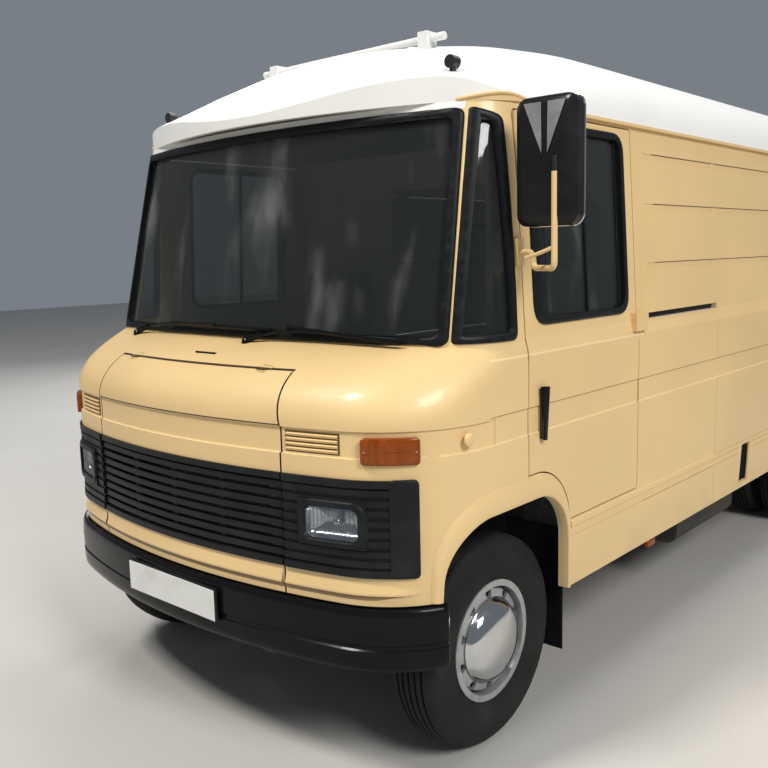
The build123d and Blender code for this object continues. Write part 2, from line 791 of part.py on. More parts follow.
side_panel_right.part.label = "side_panel_right"

# Serving hatch: the flap cut from the same wall, hung from barrels on its top edge
with BuildPart() as serving_hatch:
    add(body_block(hatch_front_y - 20, hatch_back_y + 20))
    add(body_block(hatch_front_y - 30, hatch_back_y + 30, inset=wall - 3, bottom=0), mode=Mode.SUBTRACT)
    add(side_prism(hatch_points, 30, -1120, -880, grow=-gap), mode=Mode.INTERSECT)
    for z in rib_levels:
        with Locations((-side_x(z), (hatch_front_y + hatch_back_y) / 2, z)):
            Box(2 * rib_depth, hatch_back_y - hatch_front_y - 40, rib_height, mode=Mode.SUBTRACT)
    for y in hatch_hinge_ys:
        add(box_between((hatch_hinge_x - 4, y - 35, hatch_top - 34), (hatch_hinge_x + 9, y + 35, hatch_top - 1)))
        add(box_between((hatch_hinge_x + 8, y - 35, hatch_top - 34), (hatch_hinge_x + 20, y + 35, hatch_top - 8)))
        with Locations(Location((hatch_hinge_x, y, hatch_hinge_z), (90, 0, 0))):
            Cylinder(hinge_barrel, hatch_barrel)
    for y in (hatch_front_y + 350, hatch_back_y - 350):
        with Locations((-body_half_width - 14, y, hatch_bottom + 40)):
            Box(30, 90, 18)
serving_hatch.part.label = "serving_hatch"

# Serving counter: an outer shelf on brackets, and a cabinet with a worktop inside
counter_depth = 520.0
counter_top = 1150.0
inner_x = -body_half_width + wall
with BuildPart() as serving_counter:
    add(box_between((-shelf_reach, hatch_front_y + 20, shelf_z - 26), (-body_half_width, hatch_back_y - 20, shelf_z)))
    for y in (hatch_front_y + 160, (hatch_front_y + hatch_back_y) / 2, hatch_back_y - 160):
        with BuildSketch(Plane.XZ.offset(-y - 12)):
            with BuildLine():
                Polyline(
                    (-body_half_width, shelf_z - 26),
                    (-shelf_reach + 30, shelf_z - 26),
                    (-body_half_width, shelf_z - 190),
                    close=True,
                )
            make_face()
        extrude(amount=24)
    low = (inner_x, hatch_front_y, floor_top)
    add(box_between(low, (inner_x + counter_depth, hatch_back_y, counter_top - 30)))
    add(box_between((inner_x, hatch_front_y, counter_top - 30), (inner_x + counter_depth + 20, hatch_back_y, counter_top)))
    add(box_between((inner_x + counter_depth - 50, hatch_front_y - 1, floor_top), (0, hatch_back_y + 1, floor_top + 90)),
        mode=Mode.SUBTRACT)
    with Locations((inner_x + counter_depth / 2, (hatch_front_y + hatch_back_y) / 2, counter_top)):
        with GridLocations(0, 300, 1, 4):
            Cylinder(110, 60, mode=Mode.SUBTRACT)
serving_counter.part.label = "serving_counter"

# Rear frame: corner posts, sill and header round the rear doors
with BuildPart() as rear_frame:
    add(body_block(frame_front_y, body_back_y))
    fillet(rear_frame.edges().filter_by(lambda e: abs(e.center().Y - body_back_y) < 1
           and abs(e.center().X) > 980).sort_by(Axis.Z)[0:6], 30)
    add(body_block(frame_front_y - 5, body_back_y - tail_leaf - 22, inset=wall, bottom=0, top=rail_z + 5), mode=Mode.SUBTRACT)
    add(box_between((-tail_half_width, 0, tail_bottom), (tail_half_width, 3000, tail_top)), mode=Mode.SUBTRACT)
    add(box_between((-900, frame_front_y - 10, 0), (900, 3000, chassis_z + chassis_height + 5)), mode=Mode.SUBTRACT)
    for side in (-1, 1):
        for z in tail_hinge_levels:
            with Locations((side * (tail_hinge_x + 32), body_back_y + 4, z + tail_barrel + seat_gap)):
                Box(54, 8, tail_barrel)
            with Locations((side * tail_hinge_x, body_back_y + tail_hinge_out, z + tail_barrel + seat_gap)):
                Cylinder(hinge_barrel, tail_barrel)
rear_frame.part.label = "rear_frame"

# Rear doors: two leaves with windows, hung on outer barrels
tail_window_x = 180.0
tail_window_bottom = 1500.0
tail_window_top = 2080.0


def tail_leaf_part(side):
    inner_edge = side * gap / 2
    outer_edge = side * (tail_half_width - gap)
    low_x, high_x = sorted((inner_edge, outer_edge))
    window_low, window_high = sorted((side * tail_window_x, side * (tail_half_width - tail_window_x + 60)))
    with BuildPart() as leaf:
        add(box_between((low_x, body_back_y - tail_leaf, tail_bottom + gap), (high_x, body_back_y - 2, tail_top - gap)))
        with BuildSketch(Plane.XZ.offset(-body_back_y)):
            with Locations(((window_low + window_high) / 2, (tail_window_bottom + tail_window_top) / 2)):
                RectangleRounded(window_high - window_low, tail_window_top - tail_window_bottom, 60)
        extrude(amount=100, mode=Mode.SUBTRACT)
        for z in (crease_z, 1000.0, 1380.0):
            with Locations(((low_x + high_x) / 2, body_back_y - 2, z)):
                Box(high_x - low_x - 120, 8, 6, mode=Mode.SUBTRACT)
        for z in tail_hinge_levels:
            with Locations((side * (tail_hinge_x - 44), body_back_y + 3, z)):
                Box(72, 10, tail_barrel)
            with Locations((side * tail_hinge_x, body_back_y + tail_hinge_out, z)):
                Cylinder(hinge_barrel, tail_barrel)
            with Locations((side * (tail_hinge_x - 4), body_back_y + 7, z)):
                Box(9, 11, tail_barrel)
        if side > 0:
            with Locations((70, body_back_y + 12, 1180)):
                Box(30, 28, 150)
    return leaf.part


def tail_pane(side):
    window_low, window_high = sorted((side * tail_window_x, side * (tail_half_width - tail_window_x + 60)))
    with BuildPart() as pane:
        with BuildSketch(Plane.XZ.offset(-body_back_y + tail_leaf / 2)):
            with Locations(((window_low + window_high) / 2, (tail_window_bottom + tail_window_top) / 2)):
                RectangleRounded(window_high - window_low, tail_window_top - tail_window_bottom, 60)
        extrude(amount=glass_thickness)
    return pane.part


rear_leaf_left = tail_leaf_part(1)
rear_leaf_right = tail_leaf_part(-1)
with BuildPart() as rear_door_left:
    add(rear_leaf_left)
rear_door_left.part.label = "rear_door_left"
with BuildPart() as rear_door_right:
    add(rear_leaf_right)
rear_door_right.part.label = "rear_door_right"
with BuildPart() as rear_glass_left:
    add(tail_pane(1))
rear_glass_left.part.label = "rear_glass_left"
with BuildPart() as rear_glass_right:
    add(tail_pane(-1))
rear_glass_right.part.label = "rear_glass_right"

# Rear lamps, bumper and steps
with BuildPart() as rear_lamps:
    for side in (-1, 1):
        with Locations((side * (body_half_width - 62), body_back_y + 11, 800)):
            Box(90, 22, 230)
rear_lamps.part.label = "rear_lamps"

with BuildPart() as rear_bumper:
    with BuildSketch(Plane.XY.offset(bumper_bottom + 20)):
        with Locations((0, tail_y - 35)):
            RectangleRounded(2 * body_half_width - 40, 70, 30)
    extrude(amount=150)
    add(box_between((-1100, 0, 0), (1100, tail_y - 60, 2000)), mode=Mode.SUBTRACT)
    for side in (-1, 1):
        with Locations((side * (rail_x + rail_width / 2), tail_y - 95, chassis_z + 60)):
            Box(50, 70, 90)
rear_bumper.part.label = "rear_bumper"

# Floors: cab floor with wheel boxes and the engine cover, and the load floor with its wheel boxes
cab_inner = body_half_width - wall
wheel_box_inner_x = 525.0
panel_sheet = 8.0


cover_half_width = 300.0
cover_top = 1175.0
firewall_y = nose_y + 338
cab_room = nose_block(wall + seat_gap, drop=24.0 + seat_gap, bottom=body_bottom - 20, top=rail_z + 10)
with BuildPart() as cab_floor:
    add(box_between((-cab_inner + seat_gap, firewall_y - panel_sheet, cab_floor_top - 20),
                    (cab_inner - seat_gap, cab_back_y, cab_floor_top)))
    add(box_between((-cover_half_width, nose_y + 460, cab_floor_top - 20), (cover_half_width, -1750, cover_top)))
    add(box_between((-cab_inner, firewall_y - panel_sheet, cab_floor_top - 20), (cab_inner, firewall_y, 1190)))
    for side in (-1, 1):
        low_x, high_x = sorted((side * wheel_box_inner_x, side * (cab_inner - seat_gap)))
        add(side_prism(house_points, house_round, low_x, high_x, grow=panel_sheet))
    for side in (-1, 1):
        low_x, high_x = sorted((side * (wheel_box_inner_x + panel_sheet), side * 1100))
        add(side_prism(house_points, house_round, low_x, high_x), mode=Mode.SUBTRACT)
    add(box_between((-1100, nose_y, -200), (1100, cab_back_y + 10, body_bottom + 60)), mode=Mode.SUBTRACT)
    add(
        box_between((-cover_half_width + 20, firewall_y + 1, 0), (cover_half_width - 20, -1770, cover_top - 20)),
        mode=Mode.SUBTRACT,
    )
    add(cab_room, mode=Mode.INTERSECT)
    for side in (-1, 1):
        low_x, high_x = sorted((side * 360, side * 840))
        add(box_between((low_x, -1830, cab_floor_top), (high_x, -1400, 1010)))
cab_floor.part.label = "cab_floor"



def rear_house(side):
    """One rear wheel box: an arched sheet with its inner side."""
    low_x, high_x = sorted((side * wheel_box_inner_x, side * (cab_inner - seat_gap)))
    near_x, far_x = sorted((side * (wheel_box_inner_x + panel_sheet), side * 1100))
    with BuildPart() as house:
        add(rear_arch(panel_sheet, low_x, high_x))
        add(rear_arch(0, near_x, far_x), mode=Mode.SUBTRACT)
        add(box_between((-1100, cab_back_y - 10, -200), (1100, 3000, body_bottom + 60)), mode=Mode.SUBTRACT)
    return house.part


with BuildPart() as load_floor:
    add(box_between((-cab_inner + seat_gap, cab_back_y + seat_gap, floor_top - floor_thickness),
                    (cab_inner - seat_gap, body_back_y - tail_leaf - 24, floor_top)))
    for side in (-1, 1):
        low_x, high_x = sorted((side * (wheel_box_inner_x - seat_gap), side * 1100))
        add(rear_arch(panel_sheet + seat_gap, low_x, high_x), mode=Mode.SUBTRACT)
    for side in (-1, 1):
        add(rear_house(side))
load_floor.part.label = "load_floor"

# Bulkhead behind the seats, with a window and a walk-through opening
with BuildPart() as bulkhead:
    add(body_block(cab_back_y, cab_back_y + 22, inset=wall + seat_gap, bottom=floor_top + seat_gap, top=rail_z - seat_gap))
    add(box_between((-330, -2000, 0), (250, 0, 2080)), mode=Mode.SUBTRACT)
    with BuildSketch(Plane.XZ.offset(-cab_back_y - 40)):
        with Locations((600, 1700)):
            RectangleRounded(480, 560, 60)
    extrude(amount=80, mode=Mode.SUBTRACT)
bulkhead.part.label = "bulkhead"

# Chassis: two channel rails tied by cross members, with the spring hangers
members_y = (nose_y + 233, -1500.0, -700.0, 350.0, 2000.0, tail_y - 165)
spring_half_length = 560.0
spring_z = 400.0
rear_spring_z = 337.0
leaf_thickness = 12.0
rail_web = 8.0
rail_back_y = tail_y - 130


def chassis_rail(side):
    """One channel rail, open towards the middle."""
    low_x, high_x = sorted((side * rail_x, side * (rail_x + rail_width)))
    cut_low, cut_high = sorted((side * (rail_x - 1), side * (rail_x + rail_width - rail_web)))
    with BuildPart() as rail:
        add(box_between((low_x, nose_y + 185, chassis_z), (high_x, rail_back_y, chassis_z + chassis_height)))
        add(box_between((cut_low, nose_y, chassis_z + rail_web), (cut_high, tail_y, chassis_z + chassis_height - rail_web)),
            mode=Mode.SUBTRACT)
    return rail.part


with BuildPart() as chassis_frame:
    for side in (-1, 1):
        add(chassis_rail(side))
    for y in members_y:
        with Locations((0, y, chassis_z + chassis_height / 2)):
            Box(2 * (rail_x + rail_width - rail_web - seat_gap), 50, 70)
    for axle_y, leaf_z in ((front_axle_y, spring_z), (rear_axle_y, rear_spring_z)):
        eye_z = leaf_z + leaf_thickness / 2 + seat_gap
        for y in (axle_y - spring_half_length, axle_y + spring_half_length):
            for side in (-1, 1):
                add(box_between(
                    (side * spring_x - 22, y - 25, eye_z),
                    (side * spring_x + 22, y + 25, chassis_z - seat_gap),
                ))
    for y in (-900.0, 0.0, 760.0, 1840.0, 2450.0):
        add(box_between(
            (-cab_inner + 15, y - 30, chassis_z + chassis_height + seat_gap),
            (cab_inner - 15, y + 30, floor_top - floor_thickness - seat_gap),
        ))
chassis_frame.part.label = "chassis_frame"

# Leaf springs: stepped packs under each rail, tied to the axles
leaf_steps = (1.0, 0.8, 0.6, 0.4)
with BuildPart() as leaf_springs:
    for axle_y, leaf_z in ((front_axle_y, spring_z), (rear_axle_y, rear_spring_z)):
        for side in (-1, 1):
            for index, share in enumerate(leaf_steps):
                with Locations((side * spring_x, axle_y, leaf_z - index * leaf_thickness)):
                    Box(spring_width, 2 * share * spring_half_length + 40, leaf_thickness)
leaf_springs.part.label = "leaf_springs"

fork_gap = 2.0
fork_thickness = 26.0
# Front axle: a dropped beam with an eye and kingpin at each end
beam_z = 318.0
beam_height = 62.0
eye_radius = 34.0
eye_half = 48.0
pad_bottom = spring_z - leaf_thickness * (len(leaf_steps) - 0.5)
with BuildPart() as front_axle:
    with BuildSketch(Plane.XZ.offset(-front_axle_y - 35)):
        with BuildLine():
            Polyline(
                (-kingpin_x, tyre_radius - 45),
                (-kingpin_x + 42, tyre_radius - 45),
                (-540, beam_z - beam_height / 2),
                (540, beam_z - beam_height / 2),
                (kingpin_x - 42, tyre_radius - 45),
                (kingpin_x, tyre_radius - 45),
                (kingpin_x, tyre_radius + 45),
                (540, beam_z + beam_height / 2),
                (-540, beam_z + beam_height / 2),
                (-kingpin_x, tyre_radius + 45),
                close=True,
            )
        make_face()
    extrude(amount=70)
    for side in (-1, 1):
        with Locations((side * kingpin_x, front_axle_y, tyre_radius)):
            Cylinder(eye_radius, 2 * eye_half)
        with Locations((side * kingpin_x, front_axle_y, tyre_radius)):
            Cylinder(kingpin_radius, 2 * (eye_half + fork_gap + fork_thickness))
        add(box_between(
            (side * spring_x - 46, front_axle_y - 60, beam_z),
            (side * spring_x + 46, front_axle_y + 60, pad_bottom - seat_gap),
        ))
front_axle.part.label = "front_axle"

# Knuckles: a fork round the axle eye, a stub axle, a brake plate and a steering arm
stub_radius = 24.0
stub_end = front_wheel_x + 45
arm_end_y = front_axle_y + steer_arm


def knuckle(side):
    with BuildPart() as piece:
        for sign in (-1, 1):
            with Locations((side * kingpin_x, front_axle_y, tyre_radius + sign * (eye_half + fork_gap + fork_thickness / 2))):
                Cylinder(eye_radius, fork_thickness)
            with Locations((side * (kingpin_x + 36), front_axle_y, tyre_radius + sign * (eye_half + fork_gap + fork_thickness / 2))):
                Box(72, 56, fork_thickness)
        with Locations((side * (kingpin_x + 56), front_axle_y, tyre_radius)):
            Box(26, 90, 2 * (eye_half + fork_gap + fork_thickness))
        with Locations(Location((side * (kingpin_x + 74), front_axle_y, tyre_radius), (0, 90, 0))):
            Cylinder(drum_radius - 4, 8)
        with Locations(Location((side * (kingpin_x + 60 + stub_end) / 2, front_axle_y, tyre_radius), (0, 90, 0))):
            Cylinder(stub_radius, stub_end - kingpin_x - 60)
        with Locations((side * kingpin_x, front_axle_y, tyre_radius)):
            Cylinder(kingpin_radius + running_clearance, 300, mode=Mode.SUBTRACT)
        with Locations((side * kingpin_x, front_axle_y + steer_arm / 2 + 11, tyre_radius - 76)):
            Box(30, steer_arm - 22, 18)
        with Locations((side * kingpin_x, arm_end_y, tyre_radius - 76)):
            Cylinder(20, 18)
        with Locations((side * kingpin_x, arm_end_y, arm_z - 10)):
            Cylinder(9, 44)
    return piece.part


knuckle_pieces = {1: knuckle(1), -1: knuckle(-1)}
with BuildPart() as knuckle_left:
    add(knuckle_pieces[1])
knuckle_left.part.label = "knuckle_left"
with BuildPart() as knuckle_right:
    add(knuckle_pieces[-1])
knuckle_right.part.label = "knuckle_right"

# Track rod: joins the two steering arms behind the axle
rod_z = tyre_radius - 76 - 9 - 2 - 12
with BuildPart() as track_rod:
    with Locations(Location((0, arm_end_y, rod_z), (0, 90, 0))):
        Cylinder(rod_radius, 2 * kingpin_x - 30)
    for side in (-1, 1):
        with Locations((side * kingpin_x, arm_end_y, rod_z)):
            Cylinder(22, 24)
    for side in (-1, 1):
        with Locations((side * kingpin_x, arm_end_y, rod_z)):
            Cylinder(9 + running_clearance if side > 0 else 9.6, 60, mode=Mode.SUBTRACT)
track_rod.part.label = "track_rod"

# Tyres: one closed carcass each, with its tread band and bulged side walls


def tyre_ring(center_x, axle_y):
    half = tyre_width / 2
    bead = rim_half_width - rim_wall - seat_gap
    flange_top = flange_radius + 1
    with BuildPart() as ring:
        with BuildSketch(Plane.XZ.offset(-axle_y)):
            with BuildLine():
                Line((center_x - bead, tyre_radius + bead_radius), (center_x + bead, tyre_radius + bead_radius))
                Line((center_x + bead, tyre_radius + bead_radius), (center_x + bead, tyre_radius + flange_top))
                Line((center_x - bead, tyre_radius + bead_radius), (center_x - bead, tyre_radius + flange_top))
                ThreePointArc(
                    (center_x + bead, tyre_radius + flange_top),
                    (center_x + half, tyre_radius + 300),
                    (center_x + half - 17, tyre_radius + 366),
                )
                ThreePointArc(
                    (center_x + half - 17, tyre_radius + 366),
                    (center_x + half - 28, tyre_radius + 379),
                    (center_x + half - 44, 2 * tyre_radius - 1.5),
                )
                ThreePointArc(
                    (center_x + half - 44, 2 * tyre_radius - 1.5),
                    (center_x, 2 * tyre_radius),
                    (center_x - half + 44, 2 * tyre_radius - 1.5),
                )
                ThreePointArc(
                    (center_x - half + 44, 2 * tyre_radius - 1.5),
                    (center_x - half + 28, tyre_radius + 379),
                    (center_x - half + 17, tyre_radius + 366),
                )
                ThreePointArc(
                    (center_x - half + 17, tyre_radius + 366),
                    (center_x - half, tyre_radius + 300),
                    (center_x - bead, tyre_radius + flange_top),
                )
            make_face()
        revolve(axis=Axis((0, axle_y, tyre_radius), (1, 0, 0)))
    return ring.part


# Wheels: a rim barrel with flanges, a pierced disc, the brake drum behind it and a domed cap
disc_holes = 10
hole_circle = 172.0
hole_radius = 17.0
cap_radius = 152.0
cap_height = 60.0


def rim_profile(center_x, side, dish, axle_y):
    """Rim barrel and disc as a solid of revolution; side is the outward direction, dish the disc's offset."""
    half = rim_half_width
    z0 = tyre_radius
    disc_x = center_x + side * dish
    with BuildPart() as rim:
        with BuildSketch(Plane.XZ.offset(-axle_y)):
            with BuildLine():
                Polyline(
                    (center_x - half, z0 + flange_radius),
                    (center_x - half, z0 + bead_radius - rim_wall),
                    (center_x + half, z0 + bead_radius - rim_wall),
                    (center_x + half, z0 + flange_radius),
                    (center_x + half - rim_wall, z0 + flange_radius),
                    (center_x + half - rim_wall, z0 + bead_radius - seat_gap),
                    (center_x - half + rim_wall, z0 + bead_radius - seat_gap),
                    (center_x - half + rim_wall, z0 + flange_radius),
                    close=True,
                )
            make_face()
            with BuildLine():
                Polyline(
                    (disc_x - side * 34, z0 + bead_radius - rim_wall + 1),
                    (disc_x, z0 + hole_circle + 12),
                    (disc_x + side * 6, z0 + cap_radius),
                    (disc_x - side * 12, z0 + stub_radius + 40),
                    (disc_x - side * 12, z0 + hub_bore + running_clearance),
                    (disc_x - side * 26, z0 + hub_bore + running_clearance),
                    (disc_x - side * 26, z0 + stub_radius + 44),
                    (disc_x - side * 6, z0 + cap_radius - 4),
                    (disc_x - side * 11, z0 + hole_circle + 6),
                    (disc_x - side * 44, z0 + bead_radius - rim_wall + 1),
                    close=True,
                )
            make_face()
        revolve(axis=Axis((0, axle_y, tyre_radius), (1, 0, 0)))
        with Locations(Location((disc_x, axle_y, tyre_radius), (0, 90, 0))):
            with PolarLocations(hole_circle, disc_holes):
                Cylinder(hole_radius, 60, mode=Mode.SUBTRACT)
    return rim.part


def drum(near_x, far_x, axle_y):
    """Brake drum and hub between two X positions, open towards near_x."""
    low_x, high_x = sorted((near_x, far_x))
    side = 1 if far_x > near_x else -1
    with BuildPart() as shell:
        with Locations(Location(((low_x + high_x) / 2, axle_y, tyre_radius), (0, 90, 0))):
            Cylinder(drum_radius, high_x - low_x)
            Cylinder(hub_bore + running_clearance, 400, mode=Mode.SUBTRACT)
        with Locations(Location(((low_x + high_x) / 2 - side * 12, axle_y, tyre_radius), (0, 90, 0))):
            Cylinder(drum_radius - 14, high_x - low_x, mode=Mode.SUBTRACT)
        with Locations(Location(((low_x + high_x) / 2, axle_y, tyre_radius), (0, 90, 0))):
            Cylinder(hub_bore + 22, high_x - low_x - 24)
            Cylinder(hub_bore + running_clearance, 400, mode=Mode.SUBTRACT)
    return shell.part


def ball_arc(base_x, side, radius, height):
    """Arc of a ball cap: on the rim circle, half way, and on the axis."""
    ball = (radius ** 2 + height ** 2) / (2 * height)
    half_turn = atan2(radius, ball - height) / 2
    mid = (base_x + side * (ball * cos(half_turn) - ball + height), tyre_radius + ball * sin(half_turn))
    return (base_x, tyre_radius + radius), mid, (base_x + side * height, tyre_radius)


def hub_cap(base_x, side, axle_y, radius, height):
    """A domed cap over the hub, hollow behind."""
    outer = ball_arc(base_x, side, radius, height)
    inner = ball_arc(base_x, side, radius - 5, height - 5)
    with BuildPart() as cap:
        with BuildSketch(Plane.XZ.offset(-axle_y)):
            with BuildLine():
                Line(inner[0], outer[0])
                ThreePointArc(*outer)
                Line(outer[2], inner[2])
                ThreePointArc(*inner)
            make_face()
        revolve(axis=Axis((0, axle_y, tyre_radius), (1, 0, 0)))
    return cap.part


front_dish = 58.0
drum_inner_x = kingpin_x + 84
front_disc_x = front_wheel_x + front_dish


def front_wheel(side):
    with BuildPart() as wheel:
        add(rim_profile(side * front_wheel_x, side, front_dish, front_axle_y))
        add(drum(side * drum_inner_x, side * (front_disc_x - 24), front_axle_y))
        add(hub_cap(side * (front_disc_x + 1), side, front_axle_y, cap_radius - 5, cap_height))
    return wheel.part


# Twin rear wheels: the discs stand back to back on the drum, the outer one dished inwards
rear_inner_x = rear_wheel_x - twin_pitch / 2
rear_outer_x = rear_wheel_x + twin_pitch / 2
twin_dish = twin_pitch / 2 - 4
axle_tube = 42.0


def rear_wheel(side):
    with BuildPart() as wheel:
        add(rim_profile(side * rear_inner_x, side, twin_dish + 10, rear_axle_y))
        add(rim_profile(side * rear_outer_x, -side, twin_dish - 30, rear_axle_y))
        add(drum(side * (rear_inner_x - 60), side * (rear_wheel_x - 14), rear_axle_y))
        with Locations(Location((side * (rear_wheel_x + 26), rear_axle_y, tyre_radius), (0, 90, 0))):
            Cylinder(hub_bore + 46, 150)
            Cylinder(hub_bore + running_clearance, 400, mode=Mode.SUBTRACT)
    return wheel.part


wheel_bodies = {}
for name, side in (("left", 1), ("right", -1)):
    with BuildPart() as tyre_front:
        add(tyre_ring(side * front_wheel_x, front_axle_y))
    tyre_front.part.label = f"tyre_front_{name}"
    with BuildPart() as wheel_front:
        add(front_wheel(side))
    wheel_front.part.label = f"wheel_front_{name}"
    with BuildPart() as tyres_rear:
        add(tyre_ring(side * rear_inner_x, rear_axle_y))
        add(tyre_ring(side * rear_outer_x, rear_axle_y))
    tyres_rear.part.label = f"tyres_rear_{name}"
    with BuildPart() as wheels_rear:
        add(rear_wheel(side))
    wheels_rear.part.label = f"wheels_rear_{name}"
    wheel_bodies[name] = (tyre_front, wheel_front, tyres_rear, wheels_rear)

# Rear axle: tubes, a round gear case, brake plates, stub ends and the propeller shaft
case_radius = 140.0
case_end = 112.0
case_neck = 84.0
shaft_radius = 38.0
engine_back_y = -1560.0
shaft_front_y = engine_back_y + 1
shaft_back_y = rear_axle_y - case_radius - seat_gap
with BuildPart() as gear_case:
    with BuildSketch(Plane.XZ.offset(-rear_axle_y)):
        with BuildLine():
            Line((case_end, tyre_radius), (-case_end, tyre_radius))
            Line((-case_end, tyre_radius), (-case_end, tyre_radius + case_neck))
            ThreePointArc(
                (-case_end, tyre_radius + case_neck),
                (0, tyre_radius + case_radius),
                (case_end, tyre_radius + case_neck),
            )
            Line((case_end, tyre_radius + case_neck), (case_end, tyre_radius))
        make_face()
    revolve(axis=Axis((0, rear_axle_y, tyre_radius), (1, 0, 0)))
with BuildPart() as rear_axle:
    add(gear_case.part)
    with Locations(Location((0, rear_axle_y, tyre_radius), (0, 90, 0))):
        Cylinder(axle_tube, 2 * (rear_inner_x - 70))
    with Locations(Location((0, rear_axle_y, tyre_radius), (0, 90, 0))):
        Cylinder(stub_radius, 2 * (rear_wheel_x + 95))
    for side in (-1, 1):
        with Locations(Location((side * (rear_inner_x - 74), rear_axle_y, tyre_radius), (0, 90, 0))):
            Cylinder(drum_radius - 4, 8)
        add(box_between(
            (side * spring_x - 46, rear_axle_y - 65, rear_spring_z + leaf_thickness / 2 + seat_gap),
            (side * spring_x + 46, rear_axle_y + 65, tyre_radius),
        ))
    with Locations(Location((0, (shaft_front_y + shaft_back_y) / 2, tyre_radius + 40), (90, 0, 0))):
        Cylinder(shaft_radius, shaft_back_y - shaft_front_y)
rear_axle.part.label = "rear_axle"

# Engine as one plain block, with the radiator ahead of it on the front cross member
radiator_bottom = chassis_z + chassis_height / 2 + 35
with BuildPart() as engine_block:
    add(box_between((-250, nose_y + 480, 470), (250, -1800, 1120)))
    add(box_between((-130, -1801, 400), (130, engine_back_y, 700)))
    for side in (-1, 1):
        add(box_between(*zip(*(sorted(pair) for pair in ((side * 240, side * (rail_x + rail_width - 8)), (-2150, -2050), (500, 560))))))
    add(box_between((-330, nose_y + 205, radiator_bottom), (330, nose_y + 262, 1040)))
engine_block.part.label = "engine_block"

# Exhaust and tanks
pipe_z = 415.0
with BuildPart() as exhaust:
    with Locations(Location((-250, -400, pipe_z), (90, 0, 0))):
        Cylinder(85, 620)
    add(tube_along(((-250, -1500, pipe_z), (-250, 480, pipe_z), (-560, 650, pipe_z), (-1035, 650, pipe_z)), 24, 90))
    add(box_between((-265, members_y[3] - 15, pipe_z), (-235, members_y[3] + 15, chassis_z + chassis_height / 2 - 35)))
exhaust.part.label = "exhaust"

with BuildPart() as fuel_tank:
    add(box_between((rail_x + rail_width, -430, 250), (860, 330, chassis_z + chassis_height)))
    fillet(fuel_tank.edges().filter_by(Axis.Y), 60)
    add(box_between((-860, -1500, 330), (-rail_x - rail_width, -1050, chassis_z + chassis_height)))
fuel_tank.part.label = "fuel_tank"

# Roof fittings: a bar on two plates and two round lamps on feet
bar_y = nose_y + 1019
bar_z = 2590.0
roof_lamp = 22.0
roof_lamp_foot = 11.0
with BuildPart() as roof_fittings:
    with Locations(Location((0, bar_y, bar_z), (0, 90, 0))):
        Cylinder(15, 1034)
    for side in (-1, 1):
        with Locations((side * 430, bar_y, bar_z - 20)):
            Box(46, 60, 90)
        with Locations((side * 800, nose_y + 690, 2370)):
            Cylinder(roof_lamp_foot, 50)
        with Locations(Location((side * 800, nose_y + 690, 2404), (90, 0, 0))):
            Cylinder(roof_lamp, 36)
    add(roof_block(0, 0), mode=Mode.SUBTRACT)
roof_fittings.part.label = "roof_fittings"

# Mirror: a bent tube arm on the driver's side and the mirror head
mirror_y = nose_y + 716
mirror_foot_y = nose_y + 742
mirror_width = 225.0
mirror_front_y = mirror_y - 39.5
mirror_arm_x = body_half_width + 158
arm_radius = 10.0
with BuildPart() as mirror_arm:
    add(tube_along(
        ((side_x(1765) + 6, mirror_foot_y, 1765), (body_half_width + 30, mirror_foot_y, 1765),
         (body_half_width + 42, mirror_foot_y - 8, 1712), (mirror_arm_x, mirror_front_y - arm_radius - seat_gap, 1712),
         (mirror_arm_x, mirror_front_y - arm_radius - seat_gap, 2060)), arm_radius, 22))
    with Locations((side_x(1765) + 9, mirror_foot_y, 1765)):
        Box(16, 40, 90)
    add(nose_block(-seat_gap, bottom=1600), mode=Mode.SUBTRACT)
mirror_arm.part.label = "mirror_arm"

with BuildPart() as mirror_head:
    with BuildSketch(Plane.XZ.offset(-mirror_y - 10.5)):
        with Locations((shelf_reach - mirror_width / 2, 2045)):
            RectangleRounded(mirror_width, 405, 40)
    extrude(amount=50)
mirror_head.part.label = "mirror_head"

# Wipers parked along the foot of the screen, and mud flaps behind the front wheels
wiper_pivots = (-761.0, -4.0)
flap_outer_x = 957.0
flap_back_y = house_points[2][0] - seat_gap
with BuildPart() as wipers:
    for pivot_x in wiper_pivots:
        pivot_y = nose_y + 372 + abs(pivot_x) * 0.05
        with Locations((pivot_x, pivot_y, cowl_z + 6)):
            Cylinder(14, 40)
        add(box_between((pivot_x, nose_y + 340, cowl_z + 10), (pivot_x + 430, nose_y + 356, cowl_z + 20)))
        add(box_between((pivot_x - 6, nose_y + 340, cowl_z + 8), (pivot_x + 10, pivot_y, cowl_z + 20)))
    add(nose_block(-seal_proud - seat_gap, bottom=1200), mode=Mode.SUBTRACT)
wipers.part.label = "wipers"

with BuildPart() as mud_flaps:
    for side in (-1, 1):
        low_x, high_x = sorted((side * 700, side * flap_outer_x))
        add(box_between((low_x, flap_back_y - 6, 190), (high_x, flap_back_y, 690)))
mud_flaps.part.label = "mud_flaps"

